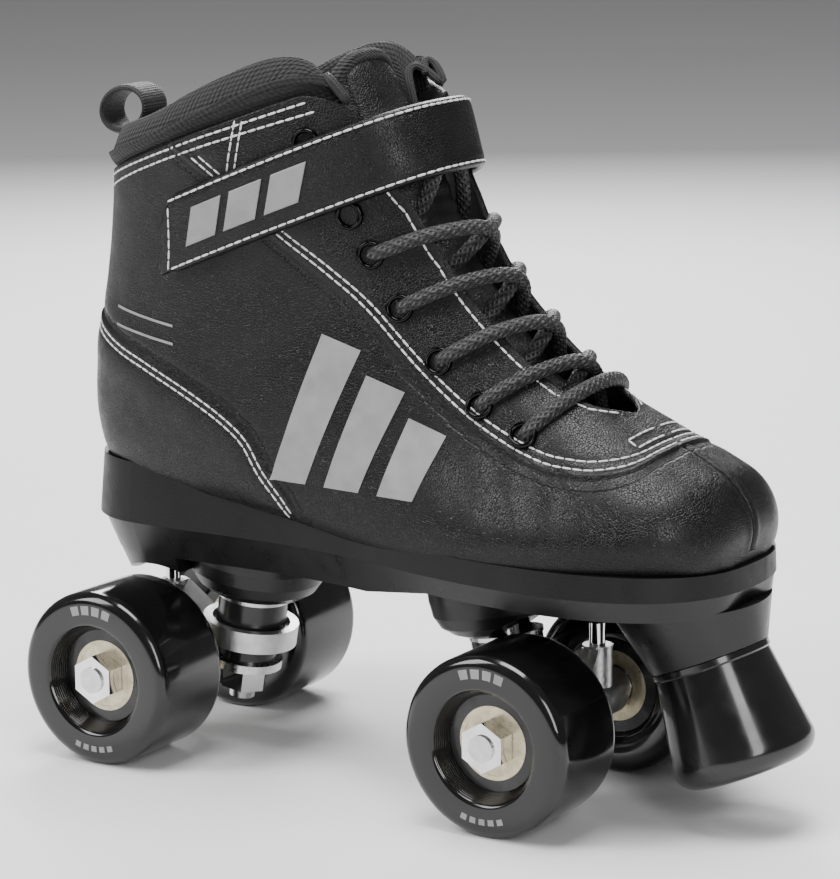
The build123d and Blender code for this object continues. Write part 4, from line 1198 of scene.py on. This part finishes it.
# ---------------------------------------------------------------- side graphic
def side_track(x, z):
    """Station and angle of the points of the boot's side at x and z."""
    stations = np.linspace(1.5, LAST_STATION, 260)
    angles = np.linspace(0.15, pi - 0.25, 200)
    grid_t, grid_a = np.meshgrid(stations, angles, indexing="ij")
    places = section(grid_t, grid_a)[..., [0, 2]]
    result = np.zeros((len(x), 2))
    for k, target in enumerate(zip(x, z)):
        away = ((places - np.array(target)) ** 2).sum(-1)
        i, j = np.unravel_index(np.argmin(away), away.shape)
        guess = np.array([stations[i], angles[j]])
        for _ in range(4):
            here = section(guess[0], guess[1])[[0, 2]]
            dt = (section(guess[0] + 1e-3, guess[1])[[0, 2]] - here) / 1e-3
            da = (section(guess[0], guess[1] + 1e-3)[[0, 2]] - here) / 1e-3
            guess = guess + np.linalg.solve(np.stack([dt, da], -1), np.array(target) - here)
        result[k] = guess
    return result


def side_bar(corners, columns=24, rows=24, height=0.12):
    """A printed four-cornered bar on the boot's side, from corners in X and Z."""
    corners = np.array(corners, float)
    u, v = np.meshgrid(np.linspace(0, 1, columns), np.linspace(0, 1, rows))
    u, v = u.reshape(-1, 1), v.reshape(-1, 1)
    flat = (1 - v) * ((1 - u) * corners[0] + u * corners[1]) + v * ((1 - u) * corners[3] + u * corners[2])
    t, angle = side_track(flat[:, 0], flat[:, 1]).T
    return lift(t, angle, panel_rise(section(t, angle)) + height)[0], grid_faces(rows, columns).tolist()


def make_side_graphic():
    """Three slanted bars and a small pair of rules behind them."""
    bars = []
    for start, top in ((-16, 133), (4, 122), (24, 111)):
        lean = (top - 92) * 0.42
        bars.append(side_bar([(start, 92), (start + 13, 92),
                              (start + 13 + lean, top), (start + lean, top + 4)]))
    add_mesh("side_bars", *gather(bars), PRINT, slot="leather")
    rules = [side_bar([(-78, z), (-52, z - 3.0), (-52, z - 2.2), (-78, z + 0.8)], 24, 3)
             for z in (137.5, 132.0)]
    add_mesh("heel_rules", *gather(rules), PRINT, slot="leather")


# ---------------------------------------------------------------- studio
def make_studio():
    floor_look = Look("studio_floor", grey(0.86), 0.75)
    floor_look.tint(floor_look.noise(4, 2), grey(0.85), grey(0.87))
    size = 6.0
    mesh = bpy.data.meshes.new("studio_floor")
    corners = [(-size, -size, 0), (size, -size, 0), (size, size, 0), (-size, size, 0)]
    mesh.from_pydata(corners, [], [(0, 1, 2, 3)])
    mesh.materials.append(floor_look.material)
    floor = bpy.data.objects.new("studio_floor", mesh)
    bpy.context.collection.objects.link(floor)
    world = bpy.data.worlds.new("studio")
    world.use_nodes = True
    world.node_tree.nodes["Background"].inputs["Color"].default_value = (1, 1, 1, 1)
    world.node_tree.nodes["Background"].inputs["Strength"].default_value = 0.18
    bpy.context.scene.world = world
    lamps = [
        ("key", (-0.75, -0.75, 0.85), 0.45, 0.8, 13.0),
        ("top", (0.05, 0.0, 1.1), 0.7, 0.5, 17.0),
        ("front", (0.95, -0.75, 0.55), 0.35, 0.7, 8.0),
        ("rim", (-0.6, 0.9, 0.7), 0.6, 0.6, 15.0),
    ]
    for name, place, wide, tall, watts in lamps:
        light = bpy.data.lights.new(name, "AREA")
        light.shape = "RECTANGLE"
        light.size, light.size_y = wide, tall
        light.energy = watts
        lamp = bpy.data.objects.new(name, light)
        lamp.location = place
        aim = Vector((0, 0, 0.1)) - Vector(place)
        lamp.rotation_euler = aim.to_track_quat("-Z", "Y").to_euler()
        bpy.context.collection.objects.link(lamp)


def make_camera():
    azimuth, elevation, roll = radians(32.84), radians(11.96), radians(-0.62)
    target = Vector((0.01615 + MID_WHEELBASE, 0.0, 0.10147))
    back = Vector((sin(azimuth) * cos(elevation), -cos(azimuth) * cos(elevation), sin(elevation)))
    right = Vector((cos(azimuth), sin(azimuth), 0))
    up = back.cross(right)
    x_axis = right * cos(roll) + up * sin(roll)
    y_axis = up * cos(roll) - right * sin(roll)
    place = target + back * 1.05526
    data = bpy.data.cameras.new("camera")
    data.lens = 143.98
    data.sensor_width = 36
    data.clip_start, data.clip_end = 0.05, 20
    camera = bpy.data.objects.new("camera", data)
    turn = Matrix((x_axis, y_axis, back)).transposed().to_4x4()
    camera.matrix_world = Matrix.Translation(place) @ turn
    bpy.context.collection.objects.link(camera)
    bpy.context.scene.camera = camera


paint_cad_nodes()
make_camera()
make_studio()
make_lace()
make_upper()
make_stitching()
make_collar()
make_tongue()
make_insole()
make_strap()
make_pads()
make_pull_loop()
make_eyelets()
for end in ("front", "rear"):
    for side_name in ("left", "right"):
        make_wheel(end, side_name)
make_side_graphic()
